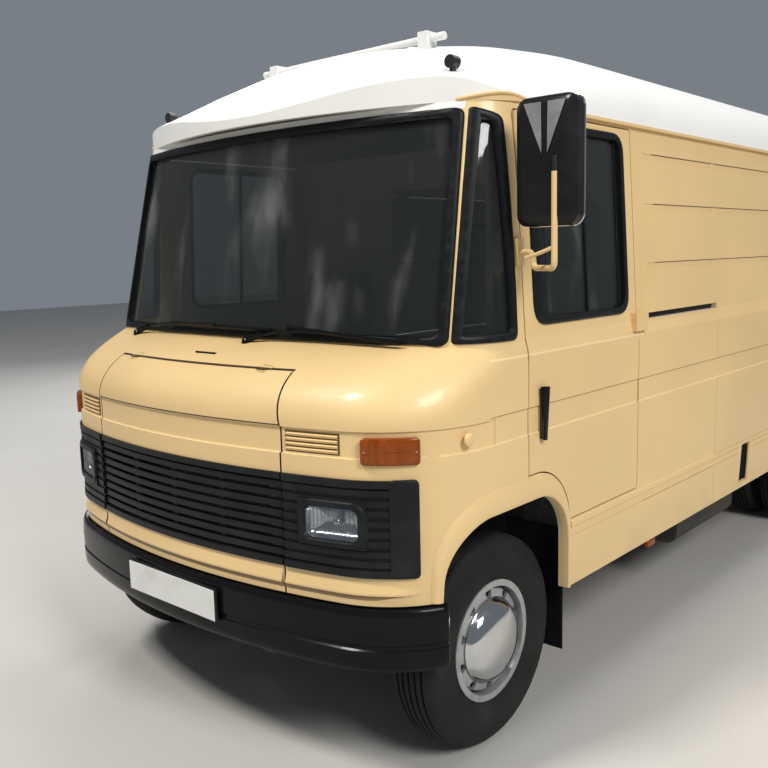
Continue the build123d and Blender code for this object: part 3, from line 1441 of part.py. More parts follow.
# Dashboard with the steering column
tilt = radians(column_tilt)
column_axis = Vector(0, sin(tilt), cos(tilt))
wheel_center = Vector(steering_wheel_x, steering_wheel_y, steering_wheel_z)
column_length = 620.0
with BuildPart() as dashboard:
    with BuildSketch(Plane.YZ.offset(-960)):
        with BuildLine():
            Polyline(
                (nose_y + 420, 1200),
                (nose_y + 420, 1410),
                (nose_y + 560, 1425),
                (nose_y + 600, 1380),
                (nose_y + 560, 1180),
                close=True,
            )
        make_face()
    extrude(amount=1920)
    add(box_between((-930, nose_y + 420, 900), (930, nose_y + 450, 1210)))
    add(cab_room, mode=Mode.INTERSECT)
    column_mid = wheel_center - column_axis * (column_length / 2 + 40)
    with Locations(Plane(origin=column_mid, z_dir=column_axis).location):
        Cylinder(26, column_length)
    for side in (-1, 1):
        low_x, high_x = sorted((side * (wheel_box_inner_x - seat_gap), side * 1100))
        add(side_prism(house_points, house_round, low_x, high_x, grow=panel_sheet + seat_gap), mode=Mode.SUBTRACT)
dashboard.part.label = "dashboard"

with BuildPart() as steering_wheel:
    with Locations(Plane(origin=wheel_center, z_dir=column_axis).location):
        Torus(steering_wheel_radius, 14)
        Cylinder(48, 50)
        Box(2 * steering_wheel_radius - 10, 30, 14)
        Cylinder(16, 40 - seat_gap, align=(Align.CENTER, Align.CENTER, Align.MAX))
steering_wheel.part.label = "steering_wheel"

# Seats: plain cushions and backs on the floor pedestals
with BuildPart() as seats:
    for x in (-600, 600):
        add(box_between((x - 240, -1850, 1010 + seat_gap), (x + 240, -1400, 1120)))
        add(box_between((x - 240, -1420, 1120 + seat_gap), (x + 240, -1300, 1720)))
seats.part.label = "seats"

pieces = [cab_shell, cab_doors, cab_glass, window_seals, bonnet, grille, lamp_panels, headlamps, indicators,
          front_bumper, roof_shell, drip_rails, side_panel_left, side_panel_right, serving_hatch,
          serving_counter, rear_frame, rear_door_left, rear_door_right, rear_glass_left, rear_glass_right,
          rear_lamps, rear_bumper, cab_floor, load_floor, bulkhead, chassis_frame, leaf_springs, front_axle,
          knuckle_left, knuckle_right, track_rod, rear_axle, engine_block, exhaust, fuel_tank, roof_fittings,
          mirror_arm, mirror_head, wipers, mud_flaps, dashboard, steering_wheel, seats]
for group in wheel_bodies.values():
    pieces.extend(group)
for piece in pieces:
    export_step(piece.part, f"parts/{piece.part.label}.step")
    print(piece.part.label, len(piece.part.solids()), round(piece.part.volume / 1e6, 2))
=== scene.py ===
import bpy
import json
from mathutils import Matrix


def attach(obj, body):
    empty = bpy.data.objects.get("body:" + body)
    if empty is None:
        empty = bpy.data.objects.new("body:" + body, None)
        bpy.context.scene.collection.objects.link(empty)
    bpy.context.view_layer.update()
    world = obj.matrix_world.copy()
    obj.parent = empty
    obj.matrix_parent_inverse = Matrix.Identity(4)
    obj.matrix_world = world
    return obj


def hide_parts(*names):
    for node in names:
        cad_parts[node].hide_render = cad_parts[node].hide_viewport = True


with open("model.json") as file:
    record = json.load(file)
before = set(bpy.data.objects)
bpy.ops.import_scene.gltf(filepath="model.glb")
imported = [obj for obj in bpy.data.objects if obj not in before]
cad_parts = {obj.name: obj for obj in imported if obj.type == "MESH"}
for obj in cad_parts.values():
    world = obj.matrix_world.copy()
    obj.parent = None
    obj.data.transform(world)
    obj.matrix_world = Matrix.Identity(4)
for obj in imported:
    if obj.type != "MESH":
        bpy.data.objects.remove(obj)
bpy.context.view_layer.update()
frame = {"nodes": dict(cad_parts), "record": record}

import json
from math import cos, degrees, pi, radians, sin

import bpy
from mathutils import Matrix, Vector

nodes = frame["nodes"]
both = (("Left", 1), ("Right", -1))
print("frame loaded:", len(nodes), "nodes")


# Shader building: sums on a wire add Math nodes, and Finish.node makes every other node

class Wire:
    def __init__(self, finish, socket):
        self.finish = finish
        self.socket = socket

    def sum(self, operation, *values):
        return self.finish.node("Math", {"operation": operation}, *values)

    def __add__(self, other):
        return self.sum("ADD", self, other)

    def __radd__(self, other):
        return self.sum("ADD", other, self)

    def __sub__(self, other):
        return self.sum("SUBTRACT", self, other)

    def __rsub__(self, other):
        return self.sum("SUBTRACT", other, self)

    def __mul__(self, other):
        return self.sum("MULTIPLY", self, other)

    def __rmul__(self, other):
        return self.sum("MULTIPLY", other, self)

    def __pow__(self, other):
        return self.sum("POWER", self, other)

    def over(self, other):
        return self.sum("GREATER_THAN", self, other)

    def under(self, other):
        return self.sum("LESS_THAN", self, other)

    def within(self, low, high):
        return self.over(low) * self.under(high)

    def near(self, level, reach):
        return (self - level).size().under(reach)

    def size(self):
        return self.sum("ABSOLUTE", self)

    def wave(self):
        return self.sum("SINE", self)

    def ramp(self, low, high):
        settings = {"interpolation_type": "SMOOTHSTEP"}
        return self.finish.node("MapRange", settings, self, low, high, 0.0, 1.0)


class Finish:
    def __init__(self, name, color, roughness=0.5, metallic=0.0, coat=0.0):
        self.material = bpy.data.materials.new(name)
        self.material.use_nodes = True
        self.tree = self.material.node_tree
        self.shader = self.tree.nodes["Principled BSDF"]
        self.color = (*color, 1.0)
        self.put("Base Color", self.color)
        self.put("Roughness", roughness)
        self.put("Metallic", metallic)
        self.put("Coat Weight", coat)

    def node(self, kind, settings, *values, output=0, **named):
        made = self.tree.nodes.new("ShaderNode" + kind)
        for key, value in settings.items():
            setattr(made, key, value)
        for key, value in list(enumerate(values)) + list(named.items()):
            self.feed(made.inputs[key], value)
        return Wire(self, made.outputs[output])

    def feed(self, socket, value):
        if isinstance(value, Wire):
            self.tree.links.new(value.socket, socket)
        else:
            socket.default_value = value

    def put(self, name, value):
        self.feed(self.shader.inputs[name], value)

    def place(self):
        return self.node("TexCoord", {}, output="Object")

    def axes(self):
        split = self.node("SeparateXYZ", {}, self.place())
        return [Wire(self, socket) for socket in split.socket.node.outputs]

    def noise(self, scale, detail=3.0, stretch=(1.0, 1.0, 1.0)):
        spot = self.node("Mapping", {}, self.place(), Scale=stretch)
        return self.node("TexNoise", {}, spot, Scale=scale, Detail=detail)

    def blend(self, mask, low, high):
        made = self.tree.nodes.new("ShaderNodeMix")
        made.data_type = "RGBA"
        self.feed(made.inputs[0], mask)
        self.feed(made.inputs[6], low if isinstance(low, Wire) else (*low, 1.0))
        self.feed(made.inputs[7], high if isinstance(high, Wire) else (*high, 1.0))
        return Wire(self, made.outputs[2])

    def tint(self, mask, low, high):
        self.put("Base Color", self.blend(mask, low, high))

    def bump(self, height, depth, strength=1.0):
        self.put("Normal", self.node("Bump", {}, Height=height, Distance=depth, Strength=strength))


def shade(color, factor):
    return tuple(min(1.0, channel * factor) for channel in color)


# Finishes

paint = {"beige": (0.755, 0.534, 0.252), "white": (0.80, 0.80, 0.775), "dust": (0.36, 0.31, 0.24),
         "lining": (0.56, 0.555, 0.52)}


def brushedPaint(name, color, roughness, dirtTop, marks=None):
    finish = Finish(name, color, roughness, coat=0.15)
    x, y, z = finish.axes()
    patches = finish.noise(1.6, 4.0).ramp(0.35, 0.7)
    streaks = finish.noise(60.0, 3.0, (1.0, 0.06, 1.0))
    specks = finish.noise(420.0, 2.0)
    tone = finish.blend(patches, shade(color, 0.965), shade(color, 1.03))
    dirt = (1 - z.ramp(dirtTop - 0.22, dirtTop + 0.1)) * finish.noise(7.0, 5.0).ramp(0.3, 0.75) * 0.35
    coat = finish.blend(dirt, tone, paint["dust"])
    for mask, shown in marks(x, y, z) if marks else ():
        coat = finish.blend(mask, coat, shown)
    finish.put("Base Color", coat)
    finish.put("Roughness", patches * 0.08 + streaks * 0.1 + (roughness - 0.07) + dirt * 0.3)
    finish.bump(streaks * 0.6 + specks * 0.4, 0.0009, 0.22)
    return finish.material


# The gutter's small arch over each corner window, where the roof is painted beige below it
archHood = {"front": -2.272, "long": 0.222, "foot": 2.268, "rise": 0.019}


def whiteRoof():
    finish = Finish("roofWhite", paint["white"], 0.42, coat=0.1)
    x, y, z = finish.axes()
    ribs = (x * (pi / 0.036)).wave().size()
    crown = (1 - x.size().ramp(0.70, 0.80)) * z.ramp(2.45, 2.52)
    grimeAndShade = finish.noise(3.0, 5.0).ramp(0.45, 0.8) * 0.16
    hood = ((y - archHood["front"]) * (pi / archHood["long"])).wave() * archHood["rise"] + archHood["foot"]
    hood = z.under(hood)
    hood = hood * x.size().over(0.80) * y.within(archHood["front"], archHood["front"] + archHood["long"])
    coat = finish.blend(grimeAndShade, paint["white"], (0.55, 0.53, 0.47))
    finish.tint(hood, coat, paint["beige"])
    finish.put("Roughness", grimeAndShade * 0.6 + 0.36)
    finish.bump(ribs * crown * 0.7 + finish.noise(90.0, 3.0) * 0.3, 0.004, 0.35)
    return finish.material


def clearGlass(name, tint, roughness, opacity, haze=1.0):
    finish = Finish(name, tint, roughness)
    finish.put("IOR", 1.46)
    finish.put("Specular IOR Level", 0.7)
    film = finish.noise(5.0, 5.0, (1.0, 1.0, 0.35)).ramp(0.52, 0.85) * haze
    finish.put("Alpha", film * 0.10 + opacity)
    finish.tint(film, tint, (0.22, 0.23, 0.22))
    finish.put("Roughness", film * 0.18 + roughness)
    return finish.material


def blackRubber(name, color, ridge):
    finish = Finish(name, color, 0.62)
    finish.put("Specular IOR Level", 0.13)
    worn = finish.noise(35.0, 5.0).ramp(0.4, 0.8)
    finish.tint(worn, color, shade(color, 1.7))
    finish.put("Roughness", worn * 0.2 + 0.36)
    finish.bump(finish.noise(ridge, 3.0), 0.0006, 0.35)
    return finish.material


def tyreRubber():
    base = (0.012, 0.012, 0.013)
    finish = Finish("tyreRubber", base, 0.78)
    finish.put("Specular IOR Level", 0.2)
    dust = finish.noise(6.0, 6.0).ramp(0.42, 0.8)
    low = 1 - finish.axes()[2].ramp(0.02, 0.30)
    finish.tint(dust * 0.35 + low * 0.15, base, (0.052, 0.048, 0.042))
    finish.put("Roughness", dust * 0.12 + 0.72)
    finish.bump(finish.noise(260.0, 4.0), 0.0008, 0.4)
    return finish.material


def mouldedPlastic(name, color, roughness):
    finish = Finish(name, color, roughness)
    finish.put("Specular IOR Level", 0.16)
    faded = finish.noise(9.0, 5.0).ramp(0.4, 0.8)
    finish.tint(faded, color, shade(color, 1.8))
    finish.put("Roughness", faded * 0.14 + roughness)
    finish.bump(finish.noise(650.0, 2.0), 0.0003, 0.3)
    return finish.material


def blackEnamel():
    base = (0.006, 0.006, 0.007)
    finish = Finish("blackEnamel", base, 0.3, coat=0.04)
    finish.put("Specular IOR Level", 0.11)
    scuffs = finish.noise(14.0, 6.0, (0.4, 0.4, 2.0)).ramp(0.60, 0.92)
    finish.tint(scuffs, base, (0.016, 0.015, 0.014))
    finish.put("Roughness", scuffs * 0.30 + 0.20)
    finish.bump(finish.noise(120.0, 3.0), 0.0005, 0.2)
    return finish.material


def ribbedLens(name, color, pitch, glow):
    finish = Finish(name, color, 0.16, coat=0.12)
    finish.put("Specular IOR Level", 0.3)
    x, y, z = finish.axes()
    ribs = (z * (pi / pitch)).wave().size() * 0.5 + ((x.size() - y) * (pi / pitch)).wave().size() * 0.5
    grid = ribs * 0.55 + finish.noise(18.0, 3.0).ramp(0.3, 0.75) * 0.45
    finish.tint(grid, shade(color, 0.55), shade(color, 1.3))
    finish.put("Emission Color", finish.blend(ribs, shade(color, 0.25), color))
    finish.put("Emission Strength", glow)
    finish.bump(ribs, 0.0012, 0.5)
    return finish.material


def tailLens():
    finish = Finish("tailLens", (0.5, 0.02, 0.02), 0.14, coat=0.4)
    z = finish.axes()[2]
    amberTop = z.over(0.845)
    pale = z.under(0.735)
    color = finish.blend(amberTop, (0.42, 0.012, 0.010), (0.75, 0.24, 0.02))
    finish.tint(pale, color, (0.62, 0.60, 0.58))
    finish.bump((z * (pi / 0.008)).wave().size(), 0.0015, 0.6)
    return finish.material


def agedMetal(name, color, roughness, metallic, rust):
    finish = Finish(name, color, roughness, metallic)
    patches = finish.noise(8.0, 6.0).ramp(0.45, 0.75) * rust
    finish.tint(patches, color, (0.16, 0.075, 0.035))
    finish.put("Roughness", patches * 0.4 + roughness)
    finish.put("Metallic", metallic - patches * metallic)
    finish.bump(finish.noise(70.0, 5.0), 0.0012, 0.35)
    return finish.material


def brushedSteel():
    finish = Finish("brushedSteel", (0.58, 0.58, 0.57), 0.34, 1.0)
    grain = finish.noise(240.0, 2.0, (1.0, 0.03, 1.0))
    finish.put("Roughness", grain * 0.16 + 0.26)
    finish.tint(grain, (0.50, 0.50, 0.49), (0.66, 0.66, 0.65))
    finish.bump(grain, 0.0003, 0.3)
    return finish.material


wheels = {"height": 0.385, "frontX": 0.863, "frontY": -2.2, "rearX": (0.657, 0.883), "rearY": 1.3}


def wheelPaint():
    silver, chrome = (0.42, 0.43, 0.44), (0.78, 0.79, 0.80)
    finish = Finish("wheelPaint", silver, 0.4, 0.6)
    x, y, z = finish.axes()
    heights = z - wheels["height"]
    frontReach = y - wheels["frontY"]
    reach = (frontReach * frontReach + heights * heights) ** 0.5
    cap = reach.under(0.1473) * x.size().over(0.905) * y.under(0.0)
    grimeAndShade = finish.noise(16.0, 6.0).ramp(0.42, 0.8)
    coat = finish.blend(grimeAndShade * 0.6, silver, (0.17, 0.15, 0.12))
    finish.tint(cap, coat, finish.blend(grimeAndShade * 0.25, chrome, (0.4, 0.38, 0.35)))
    finish.put("Metallic", cap * 0.4 + 0.6 - grimeAndShade * 0.2 * (1 - cap))
    finish.put("Roughness", (1 - cap) * (grimeAndShade * 0.25 + 0.34) + cap * (grimeAndShade * 0.1 + 0.06))
    finish.bump(finish.noise(90.0, 4.0) * (1 - cap), 0.0008, 0.3)
    return finish.material


def chromePlate(name, color, roughness):
    finish = Finish(name, color, roughness, 1.0)
    haze = finish.noise(30.0, 5.0).ramp(0.45, 0.85)
    finish.put("Roughness", haze * 0.16 + roughness)
    return finish.material


def plyFloor():
    finish = Finish("plyFloor", (0.33, 0.22, 0.13), 0.6)
    grain = finish.noise(14.0, 6.0, (6.0, 0.25, 1.0))
    finish.tint(grain.ramp(0.35, 0.7), (0.24, 0.155, 0.085), (0.43, 0.30, 0.18))
    finish.put("Roughness", grain * 0.2 + 0.5)
    finish.bump(grain, 0.0008, 0.3)
    return finish.material


def wovenCloth(name, color):
    finish = Finish(name, color, 0.9)
    x, y, z = finish.axes()
    thread = (x * (pi / 0.0022)).wave().size() * (y * (pi / 0.0022) + z * (pi / 0.0022)).wave().size()
    worn = finish.noise(9.0, 5.0).ramp(0.4, 0.8)
    finish.tint(worn * 0.5 + thread * 0.3, color, shade(color, 2.6))
    finish.put("Sheen Weight", 0.25)
    finish.put("Sheen Roughness", 0.5)
    finish.bump(thread * 0.6 + finish.noise(500.0, 2.0) * 0.4, 0.0008, 0.6)
    return finish.material


def ribbedMat():
    finish = Finish("ribbedMat", (0.035, 0.035, 0.035), 0.75)
    x, _, z = finish.axes()
    ribs = (x * (pi / 0.012)).wave().size()
    worn = finish.noise(10.0, 5.0).ramp(0.4, 0.8)
    finish.tint(worn, (0.03, 0.03, 0.03), (0.10, 0.095, 0.085))
    finish.bump(ribs * z.over(0.74), 0.002, 0.5)
    return finish.material


# Heights and reaches of what is painted or pressed into the body, in metres; the crease and sill marks are
# painted highlights, and the lid, belt and swage marks painted shade
bodyLines = {"noseBack": -2.5, "apronBack": -2.60, "tail": 2.7,
             "lidFold": (1.2272, 1.2322), "lidTop": (1.3912, 1.3975), "lidSide": (0.5366, 0.5432),
             "liningHalf": 1.022, "waist": 1.475, "tumble": 0.0577, "leanFrom": 1.226, "lean": 0.194,
             "grille": (0.762, 1.068), "header": (2.237, 2.2615), "belt": (1.2302, 1.2336),
             "handle": (1.10, 1.30), "crease": (1.1405, 0.0028), "sill": (1.4175, 0.0035),
             "swages": (1.706, 1.949, 2.153), "swageHalf": 0.0022}


def bodyMarks(x, y, z):
    at, wide = bodyLines, x.size()
    # The dark brown colours below are painted shade in creases, gaps and under the fold, and the light one is
    # a painted highlight
    black, grimeAndShade = (0.008, 0.008, 0.009), (0.20, 0.125, 0.050)
    gapShade, paintedHighlight = (0.040, 0.024, 0.010), (0.88, 0.70, 0.40)
    onNose, onApron, body = y.under(at["noseBack"]), y.under(at["apronBack"]), y.under(at["tail"])
    leaning = wide + (z - at["leanFrom"]) * at["lean"] * z.over(at["leanFrom"])
    half = at["liningHalf"] - (z - at["waist"]) * at["tumble"] * z.over(at["waist"])
    lining = wide.under(half) * y.within(-2.06, 2.795) * z.over(0.70)
    # Painted shade under the apron fold's rolled lip
    apronShade = z.over(wide.ramp(0.84, 0.96) * 0.018 + 0.6805) * z.under(0.6985) * onApron * wide.under(0.955)
    marks = [
        # Painted highlights along the lower crease and along the sill crease under the windows
        (z.near(*at["crease"]) * (wide.over(1.0) + onApron).over(0.5) * body * 0.8, paintedHighlight),
        (z.near(*at["sill"]) * wide.over(1.03) * y.within(-2.34, -1.24) * 0.8, paintedHighlight),
        (lining, paint["lining"]),
        (wide.under(0.531) * y.under(-2.55) * z.within(*at["grille"]), black),
        (z.within(*at["header"]) * y.under(-2.22) * wide.under(0.888), paint["white"]),
        # Painted shade in the bonnet lid's side and top shut gaps
        (leaning.within(*at["lidSide"]) * onNose * z.within(0.66, 1.395), gapShade),
        (z.within(*at["lidTop"]) * onNose * wide.under(0.512), gapShade),
        (apronShade, shade(grimeAndShade, 1.5)),
        # Painted shade under the bonnet lid's fold and under the belt crease along the side
        (z.within(*at["lidFold"]) * onApron * wide.under(0.542), shade(grimeAndShade, 0.3)),
        (z.within(*at["belt"]) * wide.over(1.0) * y.over(-2.36), grimeAndShade),
        (wide.over(1.0515) * y.within(-2.068, -2.036) * z.within(*at["handle"]), black),
        (wide.over(1.15) * z.over(2.012) * y.under(-2.2), black),
    ]
    # Painted shade in each side swage
    for level in at["swages"]:
        marks.append((z.near(level, at["swageHalf"]) * wide.over(0.97) * y.over(-1.10) * body, grimeAndShade))
    return marks


def lampMarks(x, y, z):
    return ((x.size().over(0.75), (0.010, 0.010, 0.011)),)


# One finish for each of the record's slots, and the ones that only pieces of this script use
finishes = {
    "beige": brushedPaint("beigeEnamel", paint["beige"], 0.42, 0.62, bodyMarks),
    "white": whiteRoof(),
    "inner_white": brushedPaint("innerWhite", (0.55, 0.55, 0.51), 0.5, 0.5),
    "glass": clearGlass("windowGlass", (0.020, 0.024, 0.022), 0.02, 0.48),
    "lamp_glass": clearGlass("lampGlass", (0.75, 0.78, 0.80), 0.04, 0.22),
    "rubber": blackRubber("windowRubber", (0.008, 0.009, 0.010), 220.0),
    "tyre": tyreRubber(),
    "black_plastic": mouldedPlastic("blackPlastic", (0.010, 0.011, 0.012), 0.40),
    "black_paint": blackEnamel(),
    "amber": ribbedLens("amberLens", (0.235, 0.048, 0.0015), 0.007, 0.01),
    "red_lens": tailLens(),
    "steel": brushedSteel(),
    "steel_dull": agedMetal("pipeSteel", (0.22, 0.21, 0.20), 0.5, 0.8, 0.8),
    "chassis": agedMetal("chassisPaint", (0.030, 0.032, 0.030), 0.6, 0.0, 0.55),
    "iron": agedMetal("castIron", (0.060, 0.060, 0.060), 0.65, 0.4, 0.35),
    "fittings": brushedPaint("fittingsWhite", (0.76, 0.76, 0.74), 0.42, 0.3, lampMarks),
    "wheel_silver": wheelPaint(),
    "floor_rubber": ribbedMat(),
    "floor_wood": plyFloor(),
    "seat_fabric": wovenCloth("seatCloth", (0.022, 0.023, 0.027)),
}
chrome = chromePlate("chromePlate", (0.58, 0.59, 0.60), 0.09)
bowlSilver = chromePlate("bowlSilver", (0.50, 0.54, 0.60), 0.17)
flutedGlass = clearGlass("flutedGlass", (0.12, 0.13, 0.14), 0.02, 0.22, 0.0)
mirrorPlastic = mouldedPlastic("mirrorPlastic", (0.012, 0.012, 0.013), 0.16)
# Lighter grey for the two facets in the mirror's front: painted reflections
mirrorReflection = mouldedPlastic("mirrorReflection", (0.20, 0.20, 0.21), 0.12)
# A near-black matte finish: painted shade in the filler slot and the washer slot
recessShade = mouldedPlastic("recessShade", (0.003, 0.003, 0.003), 0.85)
ventShade = mouldedPlastic("ventShade", (0.10, 0.065, 0.025), 0.6)
for row in frame["record"]["subparts"]:
    owner = nodes[row["node"]]
    owner.data.materials.clear()
    owner.data.materials.append(finishes[row["material_slot"]])
print("finishes made:", len(finishes))


# Modelling moves shared by the pieces

mergeGap = 0.00001


def pick(item):
    bpy.ops.object.select_all(action="DESELECT")
    if item:
        item.select_set(True)
        bpy.context.view_layer.objects.active = item


def edit(item):
    pick(item)
    bpy.ops.object.mode_set(mode="EDIT")
    bpy.ops.mesh.select_all(action="SELECT")


def pull(step):
    bpy.ops.mesh.extrude_region_move(TRANSFORM_OT_translate={"value": step})


def done():
    bpy.ops.object.mode_set(mode="OBJECT")
    item = bpy.context.object
    bpy.ops.object.transform_apply(location=True, rotation=True, scale=True)
    return item


# Ends an edit: what is double is merged, and the faces are turned outwards
def closed(merge=None):
    bpy.ops.mesh.select_all(action="SELECT")
    if merge:
        bpy.ops.mesh.remove_doubles(threshold=merge)
    bpy.ops.mesh.normals_make_consistent(inside=False)
    return done()


def block(name, low, high, round=0.0, steps=2):
    pick(None)
    middle = [(a + b) / 2 for a, b in zip(low, high)]
    bpy.ops.mesh.primitive_cube_add(size=1, location=middle, scale=[abs(b - a) for a, b in zip(low, high)])
    item = bpy.context.object
    item.name = name
    bpy.ops.object.transform_apply(location=True, rotation=True, scale=True)
    if round:
        edit(item)
        bpy.ops.mesh.bevel(offset=round, segments=steps, affect="EDGES")
        done()
    return item


def boxAt(name, middle, half, round=0.0, steps=2):
    low = [at - reach for at, reach in zip(middle, half)]
    return block(name, low, [at + reach for at, reach in zip(middle, half)], round, steps)


def line(name, points):
    pick(None)
    bpy.ops.mesh.primitive_plane_add(size=0.01, location=points[0])
    item = bpy.context.object
    item.name = name
    bpy.ops.object.transform_apply(location=True, rotation=True, scale=True)
    edit(item)
    bpy.ops.mesh.merge(type="CENTER")
    for start, end in zip(points, points[1:]):
        pull(Vector(end) - Vector(start))
    return item


def plate(name, points, depth, round=0.0, steps=2):
    line(name, points)
    bpy.ops.mesh.select_all(action="SELECT")
    bpy.ops.mesh.edge_face_add()
    pull(depth)
    bpy.ops.mesh.select_all(action="SELECT")
    bpy.ops.mesh.normals_make_consistent(inside=False)
    if round:
        bpy.ops.mesh.bevel(offset=round, segments=steps, affect="EDGES")
    return done()


# A surface bridged from row to row, where each row is a line or a closed ring
def skin(name, rows, rings=False):
    parts = []
    for first, second in zip(rows, rows[1:]):
        pair = []
        for row in (first, second):
            line("row", [*row, row[0]] if rings else row)
            if rings:
                bpy.ops.mesh.select_all(action="SELECT")
                bpy.ops.mesh.remove_doubles(threshold=mergeGap)
            pair.append(done())
        edit(joined("strip", pair))
        bpy.ops.mesh.bridge_edge_loops()
        parts.append(done())
    edit(joined(name, parts))
    return closed(mergeGap)


def turned(name, points, middle, axis, steps):
    line(name, points)
    bpy.ops.mesh.select_all(action="SELECT")
    bpy.ops.mesh.spin(steps=steps, angle=2 * pi, center=middle, axis=axis)
    return closed(2 * mergeGap)


# A box outline with round corners, from its upper right corner round to its lower right one
def roundedBox(left, right, low, high, corner, steps=5):
    spots = []
    middles = ((right - corner, high - corner), (left + corner, high - corner),
               (left + corner, low + corner), (right - corner, low + corner))
    for turn, (x, z) in enumerate(middles):
        for step in range(steps + 1):
            angle = pi / 2 * (turn + step / steps)
            spots.append((x + corner * cos(angle), z + corner * sin(angle)))
    return spots


def tube(name, points, radius, ring=12, smooth=4):
    pick(None)
    bpy.ops.curve.primitive_nurbs_path_add()
    item = bpy.context.object
    item.name = name
    item.location = (0, 0, 0)
    spline = item.data.splines[0]
    spline.points.add(max(0, len(points) - len(spline.points)))
    while len(spline.points) > len(points):
        bpy.ops.object.mode_set(mode="EDIT")
        bpy.ops.curve.select_all(action="DESELECT")
        item.data.splines[0].points[-1].select = True
        bpy.ops.curve.delete(type="VERT")
        bpy.ops.object.mode_set(mode="OBJECT")
        spline = item.data.splines[0]
    for point, spot in zip(spline.points, points):
        point.co = (*spot, 1.0)
    spline.order_u = 3
    spline.use_endpoint_u = True
    spline.resolution_u = smooth
    item.data.bevel_depth = radius
    item.data.bevel_resolution = ring // 4
    item.data.use_fill_caps = True
    bpy.ops.object.convert(target="MESH")
    return done()


def joined(name, items):
    pick(items[0])
    for item in items:
        item.select_set(True)
    bpy.ops.object.join()
    items[0].name = name
    return items[0]


def applied(item, kind, name, **settings):
    made = item.modifiers.new(name, kind)
    for key, value in settings.items():
        setattr(made, key, value)
    bpy.ops.object.modifier_apply(modifier=name)


# A finished piece has its slot's finish, unless another is given
def fitted(item, slot, angle=35.0, stands=(), body="root", finish=None):
    item.data.materials.clear()
    item.data.materials.append(finish or finishes[slot])
    pick(item)
    bpy.ops.object.shade_smooth_by_angle(angle=radians(angle))
    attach(item, body)
    if stands:
        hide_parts(*stands)
    return item


# Tyres: a grooved tread with moulded side walls, one turned ring for each tyre

tread = {"grooves": 5, "wide": 0.0075, "deep": 0.009, "pitch": 0.026, "steps": 72,
         "crown": 0.3845, "fall": 0.0055, "shoulder": 0.06,
         "wall": ((0.0717, 0.2035), (0.0717, 0.221), (0.088, 0.252), (0.0945, 0.292), (0.0935, 0.325),
                  (0.0895, 0.330), (0.0885, 0.345), (0.079, 0.3655), (0.068, 0.3765))}


def tyrePiece(name, middleX, axleY):
    grooved, wall = [], tread["wall"]
    first, half = -(tread["grooves"] - 1) / 2 * tread["pitch"], tread["wide"] / 2
    for index in range(tread["grooves"]):
        at = first + index * tread["pitch"]
        low = tread["crown"] - tread["fall"] * (at / tread["shoulder"]) ** 2
        deep = low - tread["deep"]
        grooved += [(at - half - 0.001, low), (at - half, deep), (at + half, deep), (at + half + 0.001, low)]
    outline = [(-along, reach) for along, reach in wall] + grooved + list(reversed(wall))
    outline.append(outline[0])
    points = [(middleX + along, axleY, wheels["height"] + reach) for along, reach in outline]
    return turned(name, points, (middleX, axleY, wheels["height"]), (1, 0, 0), tread["steps"])


for side, sign in both:
    front = tyrePiece("treadFront" + side, sign * wheels["frontX"], wheels["frontY"])
    fitted(front, "tyre", 40, ["tyre_front_" + side.lower()], "front_wheel_" + side.lower())
    pair = [tyrePiece("treadRear", sign * middle, wheels["rearY"]) for middle in wheels["rearX"]]
    rear = joined("treadRear" + side, pair)
    fitted(rear, "tyre", 40, ["tyres_rear_" + side.lower()], "rear_wheels_" + side.lower())
print("tyres made")


# Hub caps: a plated dome over each front wheel's hub, with a rolled edge

hubCap = {"base": 0.9278, "steps": 64,
          "shape": ((0.0, 0.1500), (0.0005, 0.1560), (0.0032, 0.1568), (0.0062, 0.1540), (0.0090, 0.1515),
                    (0.0200, 0.1455), (0.0335, 0.1330), (0.0450, 0.1130), (0.0535, 0.0860), (0.0590, 0.0540),
                    (0.0612, 0.0260), (0.0618, 0.0))}


def hubCapPiece(name, sign):
    y, z = wheels["frontY"], wheels["height"]
    points = [(sign * (hubCap["base"] + out), y, z + reach) for out, reach in hubCap["shape"]]
    return turned(name, points, (sign * hubCap["base"], y, z), (1, 0, 0), hubCap["steps"])


for side, sign in both:
    cap = hubCapPiece("hubCap" + side, sign)
    fitted(cap, "wheel_silver", 60, body="front_wheel_" + side.lower(), finish=chrome)


# Window frames: two sliding panes in each cab door, shown by the thin metal bars at their edges

sideLean = {"x": 1.036, "from": 1.475, "rise": 0.787, "lean": 0.046}
doorPane = {"low": 1.533, "high": 2.190, "split": (-1.672, 0.016, 0.012, 0.006),
            "edge": (-1.416, 0.006, 0.008, 0.010)}


def bodySide(z):
    return sideLean["x"] - (z - sideLean["from"]) / sideLean["rise"] * sideLean["lean"]


def leaningBar(sign, y, width, depth, inset):
    points = []
    low, high = doorPane["low"], doorPane["high"]
    for z, edge in ((low, 0), (high, 0), (high, 1), (low, 1)):
        points.append((sign * (bodySide(z) - inset), y + (edge - 0.5) * width, z))
    return plate("paneBar", points, (-sign * depth, 0, 0), 0.0015)


for side, sign in both:
    bars = [leaningBar(sign, *doorPane[part]) for part in ("split", "edge")]
    fitted(joined("paneBars" + side, bars), "black_plastic")


# Mirror: a deep black case with a sunk front, two lighter facets in it painted as reflections, a pale bead
# and the glass behind

mirror = {"left": 1.062, "right": 1.283, "low": 1.845, "high": 2.245, "front": -2.222, "back": -2.176,
          "corner": 0.038, "bead": 0.0035, "insets": ((0.014, 0.010), (0.020, 0.004)),
          "facets": ((-0.075, -0.012), (0.012, 0.075)), "facetTip": 2.07,
          "clamp": ((1.199, -2.230, 2.070), (1.217, -2.2215, 2.084)),
          "brace": ((1.104, -2.238, 1.746), (1.15, -2.240, 1.756), (1.204, -2.236, 1.778))}


def mirrorOutline(grow, y):
    spots = roundedBox(mirror["left"] - grow, mirror["right"] + grow, mirror["low"] - grow,
                       mirror["high"] + grow, mirror["corner"])
    return [(x, y, z) for x, z in spots]


